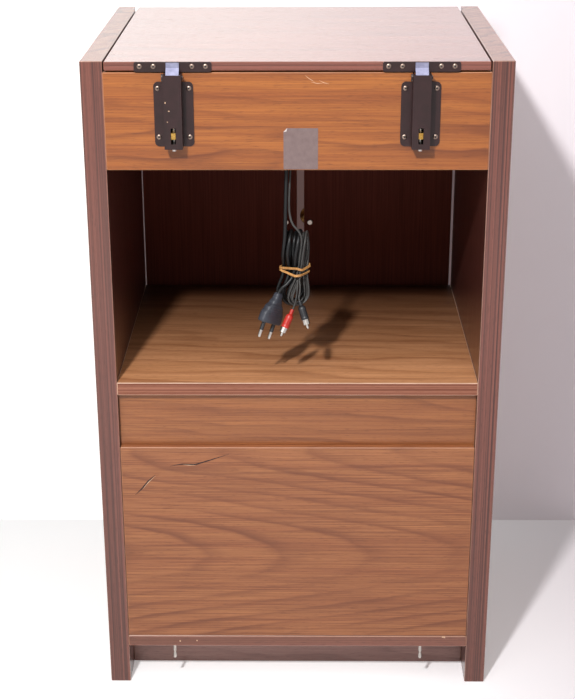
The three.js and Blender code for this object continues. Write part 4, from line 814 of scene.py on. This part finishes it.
def thinPatch(name, outlines, inward, thickness, material, body):
    # flat shapes on a rear face; each outline is a list of (x, z) in mm
    parts = []
    for outline in outlines:
        count = len(outline)
        vertices = [at(x, inward - t, z) for t in (thickness, 0.0) for x, z in outline]
        faces = [tuple(range(count)), tuple(reversed(range(count, 2 * count)))]
        faces += [(i, i + count, (i + 1) % count + count, (i + 1) % count) for i in range(count)]
        parts.append((vertices, faces))
    return finishPiece(newMesh(name, *joined(parts), material, smooth=False), body)


def sliver(points, width):
    # a crack or scratch: a long thin leaf along its points
    upper, lower = [], []
    last = len(points) - 1
    for i, (x, z) in enumerate(points):
        ahead = points[min(i + 1, last)]
        back = points[max(i - 1, 0)]
        run = math.hypot(ahead[0] - back[0], ahead[1] - back[1])
        half = width / 2 * (0.15 + math.sin(math.pi * i / last))
        across = (-(ahead[1] - back[1]) / run * half, (ahead[0] - back[0]) / run * half)
        upper.append((x + across[0], z + across[1]))
        lower.append((x - across[0], z - across[1]))
    return upper + lower[::-1]


# bare label under the lid's edge, one corner lifted and torn white
label = {"left": -15.3, "right": 23.4, "bottom": 678.2, "top": 725.2, "corner": 4.2, "thickness": 0.25}
thinPatch("bare_label", [[(label["left"], label["bottom"]), (label["right"], label["bottom"]),
    (label["right"], label["top"]), (label["left"] + label["corner"], label["top"]),
    (label["left"], label["top"] - label["corner"])]], 0.0, label["thickness"], labelPlate, "cabinet")
thinPatch("label_torn_corner", [[(label["left"], label["top"] - label["corner"]),
    (label["left"] + 3.4, label["top"] - 3.6), (label["left"] + label["corner"], label["top"])]], 0.0, 0.7,
    paperWhite, "cabinet")
# cracks in the lower panel's veneer, dark with a pale lifted lip
crackLines = [[(-198.6, 268.2), (-190, 277), (-182.4, 286.6), (-173.6, 295.3)],
    [(-155, 307.3), (-140, 310.2), (-124, 309.6), (-108, 314.8), (-83, 323.6)]]
thinPatch("panel_cracks", [sliver(line, 1.7) for line in crackLines], 0.0, 0.12, crackDark, "rear_access")
lipLines = [[(-190, 277), (-182.4, 286.6), (-173.6, 295.3)], [(-140, 310.2), (-132, 309.6), (-124, 309.6)]]
thinPatch("panel_crack_lips", [sliver([(x + 0.6, z - 0.9) for x, z in line], 0.7) for line in lipLines],
    0.0, 0.16, chipPale, "rear_access")
# worn spots: chips on the bottom board's edge, scratches under the lid, paint off the left housing
thinPatch("bottom_edge_chips", [[(-150.6, 59.6), (-148.8, 59.2), (-148.6, 61.0), (-150.2, 61.3)],
    [(-128.9, 60.2), (-127.3, 59.9), (-127.2, 61.7), (-128.6, 61.9)],
    [(183.6, 66.4), (188.4, 65.2), (187.8, 67.9), (184.6, 68.0)]], 0.0, 0.12, chipPale, "cabinet")
thinPatch("panel_scratches", [sliver(line, 0.6) for line in ([(9, 784), (13.4, 780.6), (19, 777.4)],
    [(15, 777), (22, 775.4), (29, 775.6)], [(24, 778.6), (30, 776), (35.2, 774.7)])], 0.0, 0.1, chipPale,
    "cabinet")
thinPatch("housing_chips", [[(-145.6, 757), (-144.4, 756.6), (-144.2, 758.4), (-145.3, 758.8)],
    [(-142, 748), (-140.2, 747.8), (-140.4, 748.8), (-141.9, 748.9)],
    [(-143.5, 736), (-142.6, 735.7), (-142.6, 736.6), (-143.4, 736.8)]], -18.0, 0.12, chipPale, "cabinet")
print("stage: label and marks made")

# door knobs: turned brass with a waist, a rolled lip and a shallow dished face; their brass is darkened as
# painted shade
knobProfile = [(0.0, 0.0), (9.8, 0.0), (9.9, 0.8), (8.6, 2.2), (7.4, 3.6), (7.0, 5.0), (7.0, 7.0),
    (7.6, 8.8), (9.8, 10.8), (12.4, 12.4), (13.6, 13.8), (14.0, 15.6), (13.7, 17.6), (12.8, 19.6),
    (11.6, 21.2), (10.5, 22.0), (9.4, 22.0), (8.6, 21.6), (4.0, 21.2), (0.0, 21.1)]
knobPlace = {"x": 16.6, "y": 387.0, "z": 505.6}
for side, body in (("left", "left_door"), ("right", "right_door")):
    x = -knobPlace["x"] if side == "left" else knobPlace["x"]
    knob = turnedPiece("turned_knob_" + side, knobProfile, at(x, knobPlace["y"], knobPlace["z"]), (0, 1, 0),
        shadedKnobBrass)
    finishPiece(knob, body, ("door_knob_" + side,))

# platter: a ribbed rubber mat with a raised outer ring, and the spindle's turned tip
platterPlace = {"x": 38, "y": 194, "top": 738.0}
matProfile = [(9.0, 0.0), (9.0, 1.6), (46.0, 1.6), (46.6, 1.0), (48.4, 1.0), (49.0, 2.2)]
for k in range(29):  # grooves at a pitch of 3 mm
    radius = 49.0 + 3.0 * k
    matProfile += [(radius + 1.6, 2.2), (radius + 1.9, 1.5), (radius + 2.7, 1.5), (radius + 3.0, 2.2)]
matProfile += [(139.0, 2.2), (139.6, 2.9), (143.4, 2.9), (144.4, 2.2), (144.6, 0.0)]
mat = turnedPiece("platter_mat", matProfile, at(platterPlace["x"], platterPlace["y"], platterPlace["top"]),
    (0, 0, 1), matRubber, 144)
finishPiece(mat, "platter_body")

# counterweight: a black cylinder with a knurled band and a bright scale ring
weightProfile = [(4.3, 0.0), (13.6, 0.0), (14.6, 0.5), (15.0, 1.5)]
for k in range(9):
    weightProfile += [(15.0, 2.0 + k * 1.1), (14.5, 2.4 + k * 1.1), (15.0, 2.8 + k * 1.1)]
weightProfile += [(15.0, 13.0), (13.9, 13.4), (13.9, 18.0), (15.0, 18.4), (15.0, 22.8), (14.4, 23.6),
    (13.4, 24.0), (4.3, 24.0)]
weightPlace = {"x": -146, "y": 42, "z": 758}
weight = turnedPiece("knurled_counterweight", weightProfile, at(weightPlace["x"], weightPlace["y"],
    weightPlace["z"]), (0, 1, 0), blackPlastic)
finishPiece(weight, "arm_weight", ("counterweight",))
print("stage: knobs and deck details made")

# floor and wall
stageLook = {"wall": 0.2485, "half": 4.0}


def seenDirectly(tree, path):
    # 1 for rays that come straight from the camera, a mirror or glass
    rays = math2(tree, "ADD", path.outputs["Is Camera Ray"], path.outputs["Is Glossy Ray"])
    return math2(tree, "MINIMUM", math2(tree, "ADD", rays, path.outputs["Is Transmission Ray"]), 1.0)


def stageMaterial(name, look):
    # pale paper that keeps the shadow; the camera and mirrors see it a little brighter than it is lit, with
    # painted shade that darkens it towards the right
    material = bpy.data.materials.new(name)
    material.use_nodes = True
    tree = material.node_tree
    tree.nodes.clear()
    place = addNode(tree, "ShaderNodeTexCoord").outputs["Object"]
    axes = addNode(tree, "ShaderNodeSeparateXYZ", links={0: place})
    share = addNode(tree, "ShaderNodeMapRange", {"From Min": look["from"], "From Max": look["to"],
        "interpolation_type": "SMOOTHSTEP"}, {"Value": axes.outputs[0]}).outputs[0]
    # painted shade: colour and lift fall from left to right, for the light that falls off towards the right
    colour = mixColours(tree, share, look["left"], look["right"])
    if "behind" in look:  # painted shade: dim in the narrow space between the doors and the wall, where the cabinet shades it
        sideways, upwards, dimColour, dimLift = look["behind"]
        inWidth = addNode(tree, "ShaderNodeMapRange", {"From Min": sideways[0], "From Max": sideways[1],
            "interpolation_type": "SMOOTHSTEP"}, {"Value": math2(tree, "ABSOLUTE", axes.outputs[0],
            0)}).outputs[0]
        inHeight = addNode(tree, "ShaderNodeMapRange", {"From Min": upwards[0], "From Max": upwards[1],
            "interpolation_type": "SMOOTHSTEP"}, {"Value": axes.outputs[2]}).outputs[0]
        hidden = math2(tree, "MULTIPLY", inWidth, inHeight)
        colour = mixColours(tree, hidden, colour, dimColour)
    diffuse = addNode(tree, "ShaderNodeBsdfDiffuse", links={"Color": colour})
    path = addNode(tree, "ShaderNodeLightPath")
    seen = seenDirectly(tree, path)
    lift = addNode(tree, "ShaderNodeMapRange", {"To Min": look["liftLeft"], "To Max": look["liftRight"]},
        {"Value": share}).outputs[0]
    if "behind" in look:
        lift = math2(tree, "ADD", math2(tree, "MULTIPLY", lift, math2(tree, "SUBTRACT", 1.0, hidden)),
            math2(tree, "MULTIPLY", hidden, dimLift))
    if "farWhite" in look:  # away from the cabinet the floor runs out to white
        near, far = look["farWhite"]
        squares = [math2(tree, "POWER", math2(tree, "ABSOLUTE", axes.outputs[i], 0), 2) for i in (0, 1)]
        reach = math2(tree, "SQRT", math2(tree, "ADD", *squares), 0)
        away = addNode(tree, "ShaderNodeMapRange", {"From Min": near, "From Max": far,
            "interpolation_type": "SMOOTHSTEP"}, {"Value": reach}).outputs[0]
        lift = math2(tree, "MAXIMUM", lift, away)
    glow = addNode(tree, "ShaderNodeEmission", links={"Color": colour,
        "Strength": math2(tree, "MULTIPLY", seen, lift)})
    surface = addNode(tree, "ShaderNodeAddShader", links={0: diffuse.outputs[0],
        1: glow.outputs[0]}).outputs[0]
    if look.get("oneSided"):  # seen from the doors' side the wall is not there, and light passes it
        clear = addNode(tree, "ShaderNodeBsdfTransparent")
        behind = addNode(tree, "ShaderNodeNewGeometry").outputs["Backfacing"]
        gone = math2(tree, "MAXIMUM", math2(tree, "MAXIMUM", behind, path.outputs["Is Shadow Ray"]),
            path.outputs["Is Diffuse Ray"])
        surface = addNode(tree, "ShaderNodeMixShader", links={0: gone, 1: surface,
            2: clear.outputs[0]}).outputs[0]
    addNode(tree, "ShaderNodeOutputMaterial", links={"Surface": surface})
    return material


half = stageLook["half"]
# white and more lifted on the left, pinker and less lifted on the right: painted falloff of the light
floorMaterial = stageMaterial("pale_floor", {"left": "#FFFFFF", "right": "#F6ECF1", "from": 0.0, "to": 0.6,
    "liftLeft": 0.3, "liftRight": 0.12, "farWhite": (0.75, 2.4)})
wallMaterial = stageMaterial("pale_wall", {"left": "#FFFFFF", "right": "#FAF3F8", "from": -0.2, "to": 0.45,
    "liftLeft": 0.35, "liftRight": 0.06, "oneSided": True, "behind": ((0.3, 0.222), (0.785, 0.74),
    "#A09AA0", 0.12)})
floorPiece = newMesh("floor", [(-half, -half, 0), (half, -half, 0), (half, half, 0), (-half, half, 0)],
    [(0, 1, 2, 3)], floorMaterial)
wallY = stageLook["wall"]
wallPiece = newMesh("wall", [(-half, wallY, 0), (half, wallY, 0), (half, wallY, 3), (-half, wallY, 3)],
    [(0, 1, 2, 3)], wallMaterial)
for mesh, wanted in ((floorPiece.data, Vector((0, 0, 1))), (wallPiece.data, Vector((0, -1, 0)))):
    if mesh.polygons[0].normal.dot(wanted) < 0:
        mesh.flip_normals()

lamps = {
    "flash": {"place": (-0.495, -1.7685, 1.935), "aim": (0.0, -0.19, 0.55), "size": 0.13, "power": 42.0},
    "ceiling_soft": {"place": (-0.1, -1.25, 2.35), "aim": (0.0, -0.1, 0.45), "size": 1.9, "power": 15.0},
    "front_soft": {"place": (0.3, 2.3, 1.55), "aim": (0.0, 0.1, 0.6), "size": 2.2, "power": 44.0},
}
lampObjects = {}
for name, look in lamps.items():
    data = bpy.data.lights.new(name, "AREA")
    data.shape = "DISK"
    data.size = look["size"]
    data.energy = look["power"]
    lamp = bpy.data.objects.new(name, data)
    bpy.context.scene.collection.objects.link(lamp)
    lamp.location = look["place"]
    lamp.rotation_mode = "QUATERNION"
    lamp.rotation_quaternion = (Vector(look["aim"]) - Vector(look["place"])).to_track_quat("-Z", "Y")
    lamp.visible_camera = False
    lampObjects[name] = lamp
# the soft lamp on the doors' side leaves floor and wall alone
unlit = bpy.data.collections.new("unlit_by_front_soft")
unlit.objects.link(floorPiece)
unlit.objects.link(wallPiece)
lampObjects["front_soft"].light_linking.receiver_collection = unlit
for linked in unlit.collection_objects:
    linked.light_linking.link_state = "EXCLUDE"

world = bpy.data.worlds.new("studio")
bpy.context.scene.world = world
world.use_nodes = True
worldTree = world.node_tree
worldTree.nodes.clear()
lightPath = addNode(worldTree, "ShaderNodeLightPath")
seenSky = seenDirectly(worldTree, lightPath)
skyStrength = addNode(worldTree, "ShaderNodeMapRange", {"To Min": 0.16, "To Max": 1.0},
    {"Value": seenSky}).outputs[0]
sky = addNode(worldTree, "ShaderNodeBackground", {"Color": (1, 1, 1, 1)}, {"Strength": skyStrength})
addNode(worldTree, "ShaderNodeOutputWorld", links={"Surface": sky.outputs[0]})
print("stage: floor, wall and lamps set")

# finishes of the kept CAD nodes
nodeFinishes = (
    (sideLeft, "side_panel_left"), (sideRight, "side_panel_right"), (upperWood, "upper_rear_panel"),
    (frontWood, "upper_front_panel front_plinth"), (shelfWood, "shelf_board"), (railWood, "rear_rail"),
    (lowerWood, "bottom_board"), (plinthWood, "rear_plinth"), (deckWood, "deck_board"),
    (lidWood, "lid_board"),
    (accessWood, "access_panel"), (doorLeftWood, "door_left"), (doorRightWood, "door_right"),
    (brownSteel, "hinge_strap_left hinge_strap_right hinge_housing_left hinge_housing_right"),
    (brownSteel, "hinge_pin_left hinge_pin_right"),
    (tongueSteel, "hinge_tongue_left hinge_tongue_right"),
    (springWire, "hinge_spring_left hinge_spring_right"),
    (nickel, "hinge_plunger_left hinge_plunger_right tension_screw_left tension_screw_right"),
    (nickel, "locating_peg_left locating_peg_right knob_screw_left knob_screw_right"),
    (brass, "tension_nut_left tension_nut_right motor_pulley"), (deckEnamel, "deck_chassis drive_motor"),
    (alloy, "platter arm_base arm_yoke"), (armChrome, "tonearm"), (wheelRubber, "idler_wheel"),
    (blackPlastic, "cue_lever speed_knob mains_strain_relief audio_strain_relief"),
)
nodeObjects = {o.name: o for o in bpy.data.objects if o.type == "MESH"}
for material, names in nodeFinishes:
    for name in names.split():
        for materialSlot in nodeObjects[name].material_slots:
            materialSlot.material = material
print("stage: CAD nodes finished")
